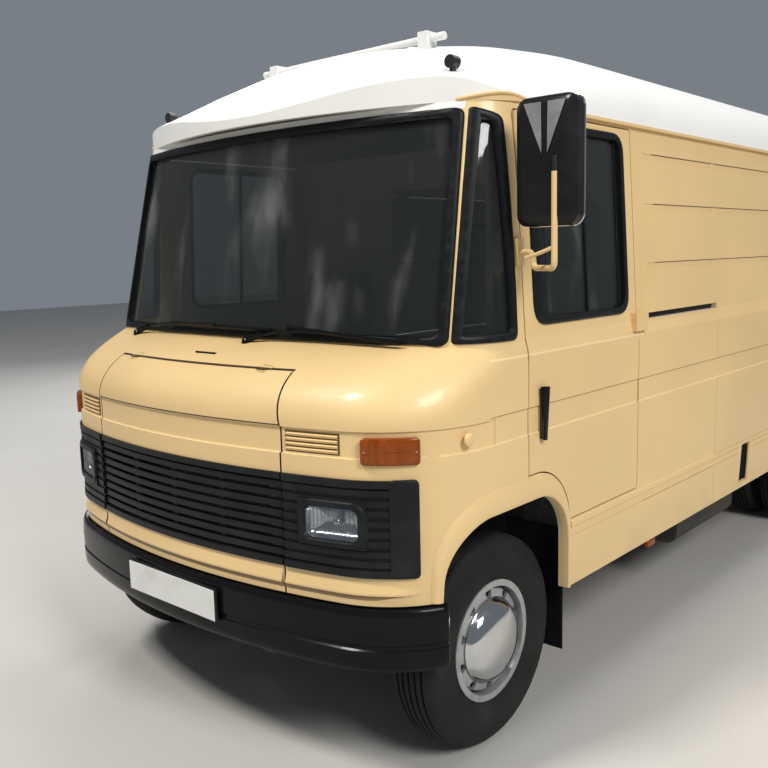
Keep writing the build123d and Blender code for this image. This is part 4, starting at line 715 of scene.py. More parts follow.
def mirrorCase():
    case = plate("mirrorCase", mirrorOutline(0.0, mirror["back"]), (0, mirror["front"] - mirror["back"], 0))
    edit(case)
    bpy.ops.mesh.select_all(action="DESELECT")
    bpy.ops.object.mode_set(mode="OBJECT")
    for face in case.data.polygons:
        face.select = face.normal.y < -0.9
    bpy.ops.object.mode_set(mode="EDIT")
    for thickness, depth in mirror["insets"]:
        bpy.ops.mesh.inset(thickness=thickness, depth=depth)
    return done()


def reflectionFacet(x0, x1):
    middle = (mirror["left"] + mirror["right"]) / 2
    top, front = mirror["high"] - 0.020, mirror["front"] - 0.0145
    points = [(middle + x0, front, top), (middle + x1, front, top),
              (middle + (x0 + x1) * 0.12, front, mirror["facetTip"])]
    return plate("facet", points, (0, -0.003, 0), 0.001, 1)


beadLine = mirrorOutline(-0.0005, mirror["back"] - 0.004)
fitted(tube("mirrorBead", [*beadLine, beadLine[0]], mirror["bead"], 8, 2), "black_plastic", finish=chrome)
fitted(mirrorCase(), "black_plastic", 30, ["mirror_head"], finish=mirrorPlastic)
facets = joined("mirrorFacets", [reflectionFacet(*ends) for ends in mirror["facets"]])
fitted(facets, "black_plastic", finish=mirrorReflection)
fitted(block("mirrorClamp", *mirror["clamp"], 0.002), "fittings")
fitted(tube("mirrorBrace", mirror["brace"], 0.0065, 8, 4), "beige")
glassPlate = plate("mirrorGlass", mirrorOutline(-0.012, mirror["back"] + 0.0005), (0, 0.002, 0), 0.0005, 1)
fitted(glassPlate, "glass", finish=chrome)
print("mirror made")


# The nose's plan curve, for all that is laid on it: a wide arc, and a small one at each corner

nose = {"front": -2.872, "radius": 2.91, "corner": 0.40, "half": 1.05, "turn": 15.01}
cornerX = nose["half"] - nose["corner"]
cornerY = nose["front"] + nose["radius"] - ((nose["radius"] - nose["corner"]) ** 2 - cornerX ** 2) ** 0.5


def noseFace(x, grow=0.0):
    wide = abs(x)
    if wide < nose["radius"] * cornerX / (nose["radius"] - nose["corner"]):
        return nose["front"] + nose["radius"] - ((nose["radius"] + grow) ** 2 - wide * wide) ** 0.5
    return cornerY - ((nose["corner"] + grow) ** 2 - (wide - cornerX) ** 2) ** 0.5


def sideFace(y, grow=0.0):
    if y > cornerY:
        return nose["half"] + grow
    return cornerX + ((nose["corner"] + grow) ** 2 - (y - cornerY) ** 2) ** 0.5


# The point of that curve where its outward direction has turned by so many degrees from straight ahead
def planPoint(turn, grow):
    angle, sign = radians(abs(turn)), -1 if turn < 0 else 1
    if abs(turn) < nose["turn"]:
        reach = nose["radius"] + grow
        return (sign * reach * sin(angle), nose["front"] + nose["radius"] - reach * cos(angle))
    reach = nose["corner"] + grow
    return (sign * (cornerX + reach * sin(angle)), cornerY - reach * cos(angle))


# Headlamps: a rim that follows the panel, a silvered bowl with its bulb, and a fluted glass

headlamp = {"x": 0.728, "z": 0.925, "width": 0.192, "height": 0.112, "corner": 0.026, "rim": 0.020,
            "proud": 0.018, "seat": 0.010, "bowl": 0.042, "flutes": 12, "margin": 0.012,
            "fluteHalf": 0.0035, "fluteHigh": 0.050,
            "bulb": ((0, 0), (0.004, 0.012), (0.014, 0.016), (0.035, 0.016), (0.035, 0))}


def lampOutline(sign, grow, out):
    halfWide, halfHigh = headlamp["width"] / 2 + grow, headlamp["height"] / 2 + grow
    x, z, corner = headlamp["x"], headlamp["z"], headlamp["corner"] + max(grow, -0.02)
    spots = roundedBox(x - halfWide, x + halfWide, z - halfHigh, z + halfHigh, corner)
    return [(sign * x, noseFace(x, out), z) for x, z in spots]


def lampFrame(sign):
    rim, proud = headlamp["rim"], headlamp["proud"]
    rows = ((rim + 0.004, 0.004), (rim + 0.001, proud - 0.003), (rim - 0.003, proud), (0.001, proud),
            (-0.002, proud - 0.003), (-0.004, headlamp["seat"] - 0.004))
    return skin("lampFrame", [lampOutline(sign, grow, out) for grow, out in rows], True)


def lampBowl(sign):
    rings = []
    for step in range(5):
        depth = headlamp["seat"] - 0.004 - headlamp["bowl"] * (step / 4) ** 0.6
        rings.append(lampOutline(sign, -0.004 - 0.0028 * step * step, depth))
    return joined("lampBowl", [skin("lampBowl", rings, True), plate("bowlBack", rings[-1], (0, 0.002, 0))])


def bulb(sign):
    x, y, z = sign * headlamp["x"], noseFace(headlamp["x"]) + 0.008, headlamp["z"]
    points = [(x, y + out, z + reach) for out, reach in headlamp["bulb"]]
    return turned("lampBulb", points, (x, y, z), (0, 1, 0), 20)


def fluteBars(sign):
    left = headlamp["x"] - headlamp["width"] / 2 + headlamp["margin"]
    step = (headlamp["width"] - 2 * headlamp["margin"]) / headlamp["flutes"]
    z, bars = headlamp["z"], []
    for index in range(headlamp["flutes"]):
        x = left + (index + 0.5) * step
        y = noseFace(x, headlamp["seat"] - 0.003)
        half, high = headlamp["fluteHalf"], headlamp["fluteHigh"]
        bars.append(block("flute", (sign * x - half, y - 0.001, z - high),
                          (sign * x + half, y + 0.002, z + high), 0.001, 1))
    return joined("lampFlutes", bars)


for side, sign in both:
    fitted(lampFrame(sign), "black_plastic").name = "lampFrame" + side
    fitted(joined("lampBowl" + side, [lampBowl(sign), bulb(sign)]), "lamp_glass", 60, finish=bowlSilver)
    fitted(fluteBars(sign), "lamp_glass", finish=flutedGlass).name = "lampFlutes" + side
    panes = [lampOutline(sign, -0.0042 - 0.0135 * step, headlamp["seat"]) for step in range(5)]
    fitted(skin("lampPane" + side, panes, True), "lamp_glass", 35, ["headlamps"], finish=flutedGlass)
print("lamps made")


# Lamp panel ends and corner lamps: soft-edged shapes laid round the nose's corner

panelEnd = {"from": 38.6, "to": 52.1, "low": 0.7555, "high": 1.0745, "corner": 0.016,
            "rings": ((0.0, -0.001), (0.0, 0.0085), (0.0012, 0.0108), (0.004, 0.0122), (0.014, 0.0126),
                      (0.027, 0.0127), (0.043, 0.0127))}
cornerLens = {"from": 26.4, "to": 52.8, "low": 1.1225, "high": 1.2075, "corner": 0.012,
              "rings": ((0.0, -0.0068), (0.0, 0.0105), (0.0012, 0.0128), (0.004, 0.0142), (0.016, 0.0150),
                        (0.028, 0.0154), (0.041, 0.0155)),
              "screws": {"turns": (28.3, 50.9), "out": (0.010, 0.014, 0.0172), "z": 1.165, "radius": 0.0028}}
sideMarker = {"x": 1.038, "y": -1.135, "z": 0.489, "half": (0.015, 0.035, 0.019), "round": 0.013}


# The top and foot of an outline have more points than its ends, so that they can follow the nose
def wrapOutline(sign, shape, inset, out):
    reach, points = nose["corner"] + out, []
    low, high = reach * radians(shape["from"]) + inset, reach * radians(shape["to"]) - inset
    foot, top, corner = shape["low"] + inset, shape["high"] - inset, max(shape["corner"] - inset, 0.001)
    for turn, (sx, sz) in enumerate(((1, 1), (-1, 1), (-1, -1), (1, -1))):
        for step in range(5):
            angle = pi / 2 * (turn + step / 4)
            along = (high if sx > 0 else low) - sx * corner + corner * cos(angle)
            points.append((along, (top if sz > 0 else foot) - sz * corner + corner * sin(angle)))
        if turn % 2 == 0:
            start, end = (high - corner, low + corner) if turn == 0 else (low + corner, high - corner)
            points += [(start + (end - start) * step / 7, points[-1][1]) for step in range(1, 7)]
    spots = [(*planPoint(degrees(along / reach), out), z) for along, z in points]
    return [(sign * x, y, z) for x, y, z in spots]


def wrapPiece(name, sign, shape):
    rings = [wrapOutline(sign, shape, inset, out) for inset, out in shape["rings"]]
    return joined(name, [skin(name, rings, True), plate("middle", rings[-1], (0, 0.002, 0))])


def lensScrew(sign, turn):
    facts = cornerLens["screws"]
    spots = [planPoint(turn, out) for out in facts["out"]]
    return tube("lensScrew", [(sign * x, y, facts["z"]) for x, y in spots], facts["radius"], 8, 1)


lenses = []
for side, sign in both:
    fitted(wrapPiece("panelEnd" + side, sign, panelEnd), "black_plastic", 40)
    lenses.append(wrapPiece("cornerLens", sign, cornerLens))
    middle = (sign * sideMarker["x"], sideMarker["y"], sideMarker["z"])
    lenses.append(boxAt("sideMarker", middle, sideMarker["half"], sideMarker["round"], 4))
    screws = [lensScrew(sign, turn) for turn in cornerLens["screws"]["turns"]]
    fitted(joined("lensScrews" + side, screws), "steel")
fitted(joined("cornerLenses", lenses), "amber", 40, ["indicators"])
print("corner lamps made")


# Apron fold: the nose sheet's lower edge is rolled out over the strip above the bumper

fold = {"edge": 10.80, "lid": 10.50, "fade": 44.0, "end": 53.0, "base": -0.001,
        "rows": ((-0.001, 0.744), (0.0003, 0.742), (0.0042, 0.722), (0.0082, 0.709), (0.0098, 0.7025),
                 (0.0084, 0.6985), (-0.001, 0.6975))}


def foldPiece(name, turns):
    rows = []
    for out, z in fold["rows"]:
        row = []
        for turn in turns:
            full = min(1.0, (fold["end"] - abs(turn)) / (fold["end"] - fold["fade"]))
            row.append((*planPoint(turn, fold["base"] + (out - fold["base"]) * full), z))
        rows.append(row)
    return skin(name, [*rows, rows[0]])


for side, sign in both:
    turns = [sign * (fold["edge"] + (fold["end"] - fold["edge"]) * step / 26) for step in range(27)]
    fitted(foldPiece("apronFold" + side, turns), "beige", 60)
lidTurns = [fold["lid"] * (step / 8 - 1) for step in range(17)]
fitted(foldPiece("apronFoldLid", lidTurns), "beige", 60, body="bonnet_lid")
print("apron fold made")


# Arch rims: a soft rolled rim round each front wheel opening, laid over the stepped sheet

arch = {"inner": ((-2.598, 0.300), (-2.560, 0.905), (-1.872, 0.905), (-1.872, 0.300), 0.200),
        "outer": ((-2.625, 0.300), (-2.590, 0.990), (-1.852, 0.990), (-1.852, 0.300), 0.230),
        "front": 0.664, "back": 0.509, "counts": (4, 12, 6, 6),
        "profile": ((0.0, 0.0004), (0.10, 0.0030), (0.22, 0.0072), (0.36, 0.0100), (0.52, 0.0112),
                    (0.70, 0.0112), (0.86, 0.0100), (0.96, 0.0088), (1.0, 0.0060), (1.004, -0.0200))}


# Up one side, round two corners and down the other side, in the plane of the body's side
def roundedPath(corners):
    a, b, c, d, radius = corners
    spots = []
    for before, at, after in ((a, b, c), (b, c, d)):
        at = Vector(at)
        toward, away = (Vector(before) - at).normalized(), (Vector(after) - at).normalized()
        half = toward.angle(away) / 2
        reach = radius / (sin(half) / cos(half))
        middle = at + (toward + away).normalized() * (radius / sin(half))
        spots.append((at + toward * reach, middle, at + away * reach))
    start = Vector(a) + (spots[0][0] - Vector(a)) * ((arch["front"] - a[1]) / (spots[0][0].y - a[1]))
    end = Vector((d[0], arch["back"]))
    rise, bend, across, fall = arch["counts"]
    runs = ((start, spots[0][0], rise), (spots[0], None, bend), (spots[0][2], spots[1][0], across),
            (spots[1], None, bend), (spots[1][2], end, fall))
    path = []
    for low, high, count in runs:
        for step in range(count):
            at = step / count
            if high is not None:
                path.append(low + (high - low) * at)
            else:
                first, middle, last = low
                path.append(middle + (first - middle).lerp(last - middle, at).normalized() * radius)
    return [*path, end]


def archRim(name, sign):
    inner, outer = roundedPath(arch["inner"]), roundedPath(arch["outer"])
    strips = []
    for at, proud in arch["profile"]:
        spots = [far + (near - far) * at for near, far in zip(inner, outer)]
        strips.append([(sign * sideFace(y, proud), y, z) for y, z in spots])
    return skin(name, strips)


for side, sign in both:
    fitted(archRim("archRim" + side, sign), "beige", 60)
print("arch rims made")


# Fuel filler: a slanted dark slot in the left side, its hollow a dark block of painted shade, closed in by a
# cheek at each end

filler = {"dark": ((1.0354, -0.127, 0.540), (1.0364, 0.037, 0.734)), "x": 1.0402, "deep": 0.0104,
          "front": ((-0.133, 0.739), (-0.076, 0.739), (-0.108, 0.535), (-0.133, 0.535)),
          "back": ((0.043, 0.739), (0.043, 0.535), (0.006, 0.535), (0.038, 0.739))}
fitted(block("fillerShade", *filler["dark"], 0.0003, 1), "black_plastic", finish=recessShade)
for name in ("front", "back"):
    edge = [(filler["x"], y, z) for y, z in filler[name]]
    fitted(plate("filler" + name.capitalize(), edge, (filler["deep"], 0, 0), 0.002), "beige")
print("filler made")


# Air vents: four louvres in a shaded hollow on each side of the bonnet

vent = {"from": 0.562, "to": 0.752, "low": 1.150, "pitch": 0.016, "count": 4, "sunk": -0.007, "thick": 0.0015,
        "hollow": (0.557, 0.60, 0.66, 0.71, 0.757), "folds": ((0, -0.006, 0.0075), (0, 0.006, 0.0035))}


def ventSlats(sign):
    slats = []
    spots = [vent["from"] + at * (vent["to"] - vent["from"]) for at in (0, 0.25, 0.5, 0.75, 1)]
    for index in range(vent["count"]):
        z = vent["low"] + index * vent["pitch"]
        line("slat", [(sign * x, noseFace(x, vent["sunk"]) - 0.0015, z) for x in spots])
        bpy.ops.mesh.select_all(action="SELECT")
        for step in vent["folds"]:
            pull(step)
        slats.append(closed())
    return slats


def ventBack(sign):
    foot = vent["low"] - 0.004
    line("ventBack", [(sign * x, noseFace(x, vent["sunk"]) - 0.0008, foot) for x in vent["hollow"]])
    bpy.ops.mesh.select_all(action="SELECT")
    pull((0, 0, vent["pitch"] * vent["count"] + 0.006))
    return done()


for side, sign in both:
    fitted(ventBack(sign), "black_plastic", finish=ventShade).name = "ventBack" + side
    slats = joined("ventSlats" + side, ventSlats(sign))
    pick(slats)
    applied(slats, "SOLIDIFY", "thickness", thickness=vent["thick"])
    fitted(slats, "beige")


# Number plate, left blank, on a black backing

plateSpot = {"middle": (0, -2.909, 0.57), "half": (0.26, 0.0015, 0.056), "edge": 0.001,
             "backMiddle": (0, -2.90175, 0.57), "backHalf": (0.266, 0.00575, 0.062), "backRound": 0.003}
blank = Finish("plateWhite", (0.70, 0.70, 0.68), 0.35)
grimeAndShade = blank.noise(9.0, 5.0).ramp(0.45, 0.8) * 0.4
blank.tint(grimeAndShade, (0.74, 0.74, 0.72), (0.42, 0.40, 0.36))
numberPlate = boxAt("blankPlate", plateSpot["middle"], plateSpot["half"], plateSpot["edge"], 1)
fitted(numberPlate, "white", finish=blank.material)
plateBack = boxAt("plateBack", plateSpot["backMiddle"], plateSpot["backHalf"], plateSpot["backRound"])
fitted(plateBack, "black_plastic")


# Round flap: a shallow turned cap on the left corner, above the arch

flap = {"x": 1.05, "y": -2.48, "z": 1.183,
        "shape": ((-0.004, 0), (-0.004, 0.022), (0.003, 0.022), (0.008, 0.016), (0.010, 0.007), (0.010, 0))}
flapLine = [(flap["x"] + out, flap["y"], flap["z"] + reach) for out, reach in flap["shape"]]
fitted(turned("roundFlap", flapLine, (flap["x"], flap["y"], flap["z"]), (1, 0, 0), 32), "beige")


# Door handles: a tapered lever standing off two feet

handle = {"x": 1.050, "y": -2.053, "low": 1.108, "high": 1.302, "gap": 0.010, "thick": 0.012, "long": 0.190,
          "feet": (1.277, 1.128), "foot": (0.008, 0.009, 0.014),
          "shape": ((-0.022, 0.190), (0.026, 0.186), (0.023, 0.150), (0.015, 0.060), (0.009, 0.0),
                    (-0.009, 0.002), (-0.012, 0.060), (-0.018, 0.150))}


def handlePiece(sign):
    x, y, gap = sign * handle["x"], handle["y"], sign * handle["gap"]
    full = (handle["high"] - handle["low"]) / handle["long"]
    shape = [(x + gap, y + along, handle["low"] + height * full) for along, height in handle["shape"]]
    lever = plate("lever", shape, (sign * handle["thick"], 0, 0), 0.003)
    feet = [boxAt("foot", (x + sign * 0.004, y, z), handle["foot"], 0.003) for z in handle["feet"]]
    return joined("doorHandle", [lever, *feet])


for side, sign in both:
    fitted(handlePiece(sign), "black_plastic", finish=finishes["black_paint"]).name = "doorHandle" + side


# Door rail: a dark slot in a pressed surround, with the rail inside it. The right one ends at the hatch.

rail = {"x": 1.0355, "z": 1.486, "front": -1.178, "back": {"Left": -0.442, "Right": -0.622},
        "sunk": (0.032, 0.024), "half": 0.012, "lip": 0.016, "radius": 0.0045}
for side, sign in both:
    x, z, front, back = sign * rail["x"], rail["z"], rail["front"], rail["back"][side]
    inner = block("railInside" + side, (x - sign * rail["sunk"][0], front + 0.002, z - rail["half"]),
                  (x - sign * rail["sunk"][1], back - 0.002, z + rail["half"]), 0.001, 1)
    fitted(inner, "black_plastic")
    spots = [(x, y, z - rail["lip"]) for y in (front - 0.01, (front + back) / 2, back + 0.01)]
    fitted(tube("railLip" + side, spots, rail["radius"], 8, 4), "beige")
print("nose and door fittings made")


# Seats: padded cushions and backs with sewn channels

seat = {"x": 0.6, "wide": 0.47, "cushion": ((-0.235, -1.84, 1.014), (0.235, -1.425, 1.118)),
        "back": ((-0.235, -1.412, 1.13), (0.235, -1.305, 1.705)), "inset": 0.010, "round": 0.030, "flutes": 5,
        "groove": 0.0045, "reach": 0.10, "voxel": 0.012, "pressure": 4.0, "cap": 0.014, "frames": 16}


def stuffed(pad):
    cloth = pad.modifiers.new("stuffing", "CLOTH")
    cloth.settings.use_pressure = True
    cloth.settings.uniform_pressure_force = seat["pressure"]
    cloth.settings.effector_weights.gravity = 0.0
    cloth.point_cache.frame_start = 1
    cloth.point_cache.frame_end = seat["frames"]
    for step in range(1, seat["frames"] + 1):
        bpy.context.scene.frame_set(step)
    bpy.ops.object.modifier_apply(modifier="stuffing")
    bpy.context.scene.frame_set(1)


def swollen(pad):
    pick(pad)
    applied(pad, "REMESH", "remesh", mode="VOXEL", voxel_size=seat["voxel"])
    start = [vertex.co.copy() for vertex in pad.data.vertices]
    stuffed(pad)
    for vertex, rest in zip(pad.data.vertices, start):
        move = vertex.co - rest
        if move.length > seat["cap"]:
            vertex.co = rest + move.normalized() * seat["cap"]
    pad.data.update()
    applied(pad, "SMOOTH", "soften", iterations=3)
    return pad


# The sewn channels are pressed into the padded face, which is the top of a cushion and the front of a back
def seatPad(name, low, high, middleX, flat):
    pad = block(name, [a + seat["inset"] for a in low], [b - seat["inset"] for b in high], seat["round"], 4)
    for vertex in pad.data.vertices:
        vertex.co.x += middleX
    pad = swollen(pad)
    flutes = seat["flutes"]
    thick = high[2] - low[2] if flat else high[1] - low[1]
    for vertex in pad.data.vertices:
        across = (vertex.co.x - middleX + seat["wide"] / 2) / seat["wide"] * flutes
        height = vertex.co.z - low[2] if flat else high[1] - vertex.co.y
        depth = seat["groove"] if height > thick * 0.55 else 0.0
        groove = abs(across - round(across))
        if 0.3 < across < flutes - 0.3 and groove < seat["reach"]:
            push = depth * (1 - groove / seat["reach"])
            if flat:
                vertex.co.z -= push
            else:
                vertex.co.y += push
    fitted(pad, "seat_fabric", 60, ["seats"])


for side, sign in both:
    seatPad("seatCushion" + side, *seat["cushion"], sign * seat["x"], True)
    seatPad("seatBack" + side, *seat["back"], sign * seat["x"], False)
print("seats made")


# Upper cab surface: straight lines run from the cowl's plan outline to the header's

# Each level: height, front, the wide arc's radius, the corner's radius, and half the width
upper = {"cowl": (1.464, -2.53, 5.88, 0.26, 1.036), "header": (2.262, -2.39, 3.54, 0.25, 0.99)}


def planParts(level):
    _, front, big, small, half = level
    centerX = half - small
    centerY = front + big - ((big - small) ** 2 - centerX ** 2) ** 0.5
    return front, big, small, half, centerX, centerY, big * centerX / (big - small)


low, high = planParts(upper["cowl"]), planParts(upper["header"])


def upperMix(z):
    at = (z - upper["cowl"][0]) / (upper["header"][0] - upper["cowl"][0])
    return at, [a + (b - a) * at for a, b in zip(low, high)]


def screenFace(x, z, grow):
    at, (_, _, small, _, centerX, centerY, touch) = upperMix(z)
    wide = abs(x)
    if wide > touch:
        return centerY - ((small + grow) ** 2 - (wide - centerX) ** 2) ** 0.5
    ends = []
    for front, big, _, _, _, _, reach in (low, high):
        ends.append(front + big - (big ** 2 - (wide / touch * reach) ** 2) ** 0.5)
    return ends[0] + (ends[1] - ends[0]) * at - grow


def pillarFace(y, z, grow):
    _, (_, _, small, half, centerX, centerY, _) = upperMix(z)
    if y > centerY:
        return half + grow
    return centerX + ((small + grow) ** 2 - (y - centerY) ** 2) ** 0.5


def softRing(corners, cuts, steps=5):
    ring = []
    for index, (corner, cut) in enumerate(zip(corners, cuts)):
        at, after = Vector(corner), Vector(corners[(index + 1) % len(corners)])
        before = Vector(corners[index - 1])
        start, end = at + (before - at).normalized() * cut, at + (after - at).normalized() * cut
        for step in range(steps + 1):
            t = step / steps
            ring.append(start * (1 - t) ** 2 + at * (2 * t * (1 - t)) + end * t ** 2)
        nextStart = after + (at - after).normalized() * cuts[(index + 1) % len(corners)]
        for step in range(1, 8):
            ring.append(end + (nextStart - end) * (step / 8))
    return ring


# Rubbers: the outline where each one meets the sheet, the one where it meets the glass, and its section

sealShape = ((0.0, -0.002), (0.0, 0.0062), (0.14, 0.0088), (0.5, 0.0096), (0.86, 0.0088), (1.0, 0.0055),
             (1.0, -0.012))
screenRings = (([(-0.930, 1.468), (0.930, 1.468), (0.889, 2.240), (-0.889, 2.240)], [0.030] * 4),
               ([(-0.902, 1.496), (0.902, 1.496), (0.862, 2.212), (-0.862, 2.212)], [0.034] * 4))
cornerRings = (([(-2.4195, 1.474), (-2.2545, 2.243), (-2.172, 2.212), (-2.185, 1.474)],
                [0.014, 0.012, 0.026, 0.030]),
               ([(-2.3945, 1.499), (-2.2360, 2.206), (-2.196, 2.190), (-2.208, 1.499)],
                [0.010, 0.008, 0.022, 0.022]))
doorRings = (([(-2.072, 1.511), (-2.072, 2.213), (-1.369, 2.213), (-1.369, 1.511)], [0.080] * 4),
             ([(-1.994, 1.535), (-1.994, 2.188), (-1.393, 2.188), (-1.393, 1.535)], [0.055] * 4))


def sealPiece(name, outlines, place):
    outer, inner = [softRing(corners, cuts) for corners, cuts in outlines]
    rings = []
    for at, proud in sealShape:
        rings.append([place(*(far + (near - far) * at), proud) for far, near in zip(outer, inner)])
    fitted(skin(name, rings, True), "rubber", 50)


sealPiece("screenSeal", screenRings, lambda x, z, grow: (x, screenFace(x, z, grow), z))
for side, sign in both:
    sealPiece("cornerSeal" + side, cornerRings, lambda y, z, grow: (sign * pillarFace(y, z, grow), y, z))
    sealPiece("doorSeal" + side, doorRings, lambda y, z, grow: (sign * (bodySide(z) + grow), y, z))
print("window rubbers made")


# Wipers: an arm with a spring cover, swept up from the cowl to a blade along the foot of the screen

wiper = {"set": ({"foot": (-0.670, -2.540, 1.450), "arm": ((-0.600, 1.489), (-0.450, 1.508), (-0.110, 1.514)),
                  "blade": ((-0.440, 1.509), (0.220, 1.503))},
                 {"foot": (0.100, -2.575, 1.452), "arm": ((0.175, 1.487), (0.310, 1.508), (0.540, 1.502)),
                  "blade": ((0.280, 1.517), (0.800, 1.478))}),
         "post": ((0, 0), (0.019, 0), (0.019, 0.014), (0.014, 0.021), (0, 0.021)),
         "armOut": 0.036, "armRadius": 0.0062, "coverRadius": 0.0125,
         "bladeParts": (("bladeEdge", 0.0235, 0.0060, 0.0), ("bladeHolder", 0.0300, 0.0085, 0.02))}


def wiperPiece(facts):
    x, y, z = facts["foot"]
    post = [(x + reach, y, z + height) for reach, height in wiper["post"]]
    parts = [turned("wiperPost", post, (x, y, z), (0, 0, 1), 20)]
    arm = [(x, y, z + 0.014)] + [(px, screenFace(px, pz, wiper["armOut"]), pz) for px, pz in facts["arm"]]
    parts.append(tube("wiperArm", arm, wiper["armRadius"], 8, 6))
    middle = [a + (b - a) * 0.55 for a, b in zip(arm[0], arm[1])]
    parts.append(tube("armCover", [(x, y, z + 0.016), tuple(middle), arm[1]], wiper["coverRadius"], 8, 4))
    (ax, az), (bx, bz) = facts["blade"]
    for name, out, radius, trim in wiper["bladeParts"]:
        spots = []
        for at in (trim, 0.2, 0.4, 0.6, 0.8, 1 - trim):
            px, pz = ax + (bx - ax) * at, az + (bz - az) * at
            spots.append((px, screenFace(px, pz, out), pz))
        parts.append(tube(name, spots, radius, 8, 3))
    return joined("wiper", parts)


wiperSet = joined("wiperSet", [wiperPiece(facts) for facts in wiper["set"]])
fitted(wiperSet, "black_paint", 35, ["wipers"])
print("wipers made")


# Washer slot: a thin dark plate of painted shade for the slot's opening, just above the cowl's sheet, whose
# height comes from a ray cast down on it

washerSlot = {"outline": ((-0.068, -2.687), (0.062, -2.687), (0.066, -2.700), (-0.050, -2.700)),
              "above": 0.0008, "thick": 0.002}
slotSpots = []
for x, y in washerSlot["outline"]:
    spot = nodes["cab_shell"].ray_cast(Vector((x, y, 2.0)), Vector((0, 0, -1)))[1]
    slotSpots.append((x, y, spot.z + washerSlot["above"]))
fitted(plate("washerSlot", slotSpots, (0, 0, -washerSlot["thick"])), "black_plastic", finish=recessShade)


# Gutter hood: the drip rail rises in a small arch over each corner window

def roofSide(sign, y, z):
    hit, spot, _, _ = nodes["roof_shell"].ray_cast(Vector((sign * 1.4, y, z)), Vector((-sign, 0, 0)))
    return (spot.x + sign * 0.003, y, z) if hit else None


for side, sign in both:
    spots = []
    for step in range(11):
        at = step / 10
        y, z = archHood["front"] + archHood["long"] * at, archHood["foot"] + archHood["rise"] * sin(pi * at)
        spots.append(roofSide(sign, y, z))
    hood = tube("gutterHood" + side, [spot for spot in spots if spot], 0.0065, 8, 3)
    fitted(hood, "beige")
print("gutter hoods made")


# Sill ridges: two pressed steps under the cab door

sill = {"front": -1.846, "back": -0.458, "thick": 0.003,
        "rows": ((0.762, 0.0002), (0.757, 0.0060), (0.740, 0.0068), (0.734, 0.0024), (0.706, 0.0026),
                 (0.701, 0.0002))}
for side, sign in both:
    strips = []
    for (highZ, highOut), (lowZ, lowOut) in zip(sill["rows"], sill["rows"][1:]):
        top, foot = sign * (nose["half"] + highOut), sign * (nose["half"] + lowOut)
        face = [(top, sill["front"], highZ), (foot, sill["front"], lowZ), (foot, sill["back"], lowZ),
                (top, sill["back"], highZ)]
        strips.append(plate("sillStep", face, (-sign * sill["thick"], 0, 0)))
    fitted(joined("sillRidge" + side, strips), "beige", 50)
print("sill ridges made")


# Front bumper: one pressed bar with rolled edges and a long groove, closed round at its ends

bumper = {"end": 65.0, "base": -0.017,
          "shape": ((-0.017, 0.651), (0.012, 0.656), (0.0195, 0.653), (0.0240, 0.646), (0.0262, 0.634),
                    (0.0278, 0.601), (0.0278, 0.542), (0.0225, 0.537), (0.0225, 0.525), (0.0278, 0.520),
                    (0.0278, 0.485), (0.0250, 0.463), (0.0170, 0.450), (0.0050, 0.445), (-0.017, 0.447)),
          "closing": ((2.2, 1.0), (1.0, 0.93), (0.3, 0.78), (0.0, 0.5)),
          "bracket": {"middle": (0.3875, -2.789, 0.540), "half": (0.025, 0.073, 0.043)}}


# Degrees round the nose, each with how full the section is there
def bumperStations():
    turn, end = nose["turn"], bumper["end"]
    stations = [(turn * step / 10, 1.0) for step in range(10)]
    stations += [(turn + (end - turn) * step / 14, 1.0) for step in range(14)]
    stations += [(end - short, full) for short, full in bumper["closing"]]
    return [(-turn, full) for turn, full in reversed(stations[1:])] + stations


def bumperPiece():
    rows, base = [], bumper["base"]
    for out, z in bumper["shape"]:
        rows.append([(*planPoint(turn, base + (out - base) * full), z) for turn, full in bumperStations()])
    edit(skin("bumperBar", [*rows, rows[0]]))
    bpy.ops.mesh.select_all(action="DESELECT")
    bpy.ops.mesh.select_non_manifold()
    bpy.ops.mesh.fill_holes(sides=40)
    return closed()


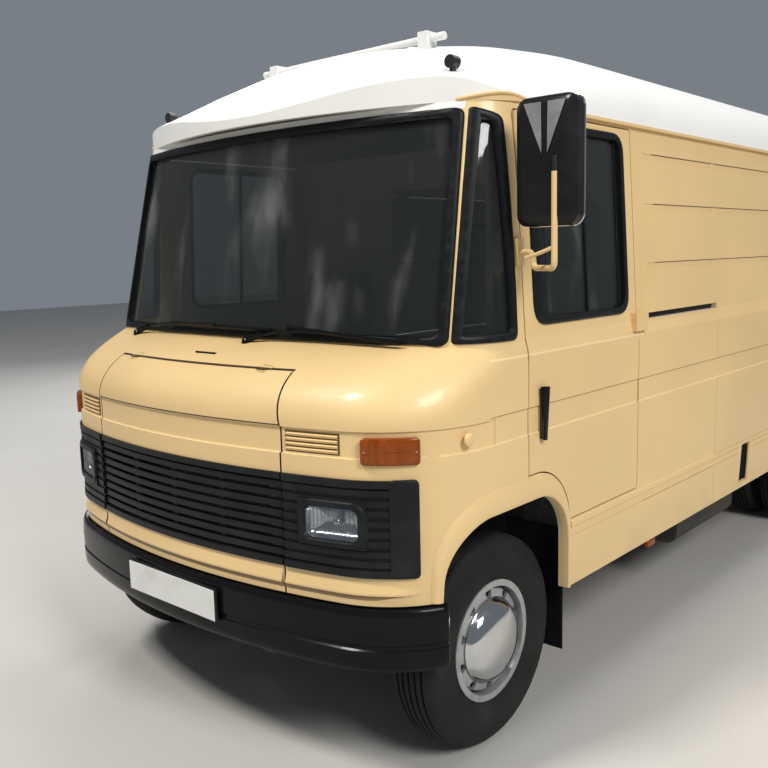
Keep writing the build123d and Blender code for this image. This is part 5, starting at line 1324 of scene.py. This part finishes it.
fitted(bumperPiece(), "black_paint", 30, ["front_bumper"])
for side, sign in both:
    x, y, z = bumper["bracket"]["middle"]
    bracket = boxAt("bumperBracket" + side, (sign * x, y, z), bumper["bracket"]["half"], 0.003)
    fitted(bracket, "black_paint")
print("bumper made")


# Stage, camera and light

pick(None)
bpy.ops.mesh.primitive_plane_add(size=60, location=(0, 0, 0))
floor = bpy.context.object
floor.name = "studioFloor"
pale = Finish("paleFloor", (0.66, 0.65, 0.63), 0.85)
pale.tint(pale.noise(0.9, 4.0), (0.49, 0.475, 0.445), (0.55, 0.535, 0.505))
floor.data.materials.append(pale.material)

view = {"spot": (2.678, -4.707, 1.771), "turn": 41.673, "down": 8.353, "roll": -1.409, "lens": 41.63}
bpy.ops.object.camera_add(location=view["spot"])
camera = bpy.context.object
camera.data.lens = view["lens"]
camera.data.sensor_width = 36
camera.data.clip_end = 200
heading = Matrix.Rotation(radians(view["turn"]), 3, "Z") @ Matrix.Rotation(radians(90 - view["down"]), 3, "X")
camera.rotation_euler = (heading @ Matrix.Rotation(radians(view["roll"]), 3, "Z")).to_euler()
bpy.context.scene.camera = camera
bpy.context.scene.view_settings.view_transform = "Standard"

lamps = (
    ((-2.0, -8.5, 11.0), 1010, 2.2, (1.0, 0.965, 0.90)),
    ((9.5, -4.5, 8.0), 930, 3.6, (1.0, 0.985, 0.96)),
    ((0.5, 3.0, 10.0), 500, 6.0, (1.0, 1.0, 1.0)),
    ((-8.0, 5.0, 6.0), 400, 5.0, (0.97, 0.98, 1.0)),
)
for spot, power, size, color in lamps:
    bpy.ops.object.light_add(type="AREA", location=spot)
    lamp = bpy.context.object
    lamp.data.energy = power
    lamp.data.size = size
    lamp.data.color = color
    lamp.rotation_euler = (Vector((0, -1.0, 1.2)) - Vector(spot)).to_track_quat("-Z", "Y").to_euler()
world = bpy.data.worlds.new("studioSky")
bpy.context.scene.world = world
world.use_nodes = True
world.node_tree.nodes["Background"].inputs["Color"].default_value = (0.80, 0.88, 1.0, 1.0)
world.node_tree.nodes["Background"].inputs["Strength"].default_value = 0.24
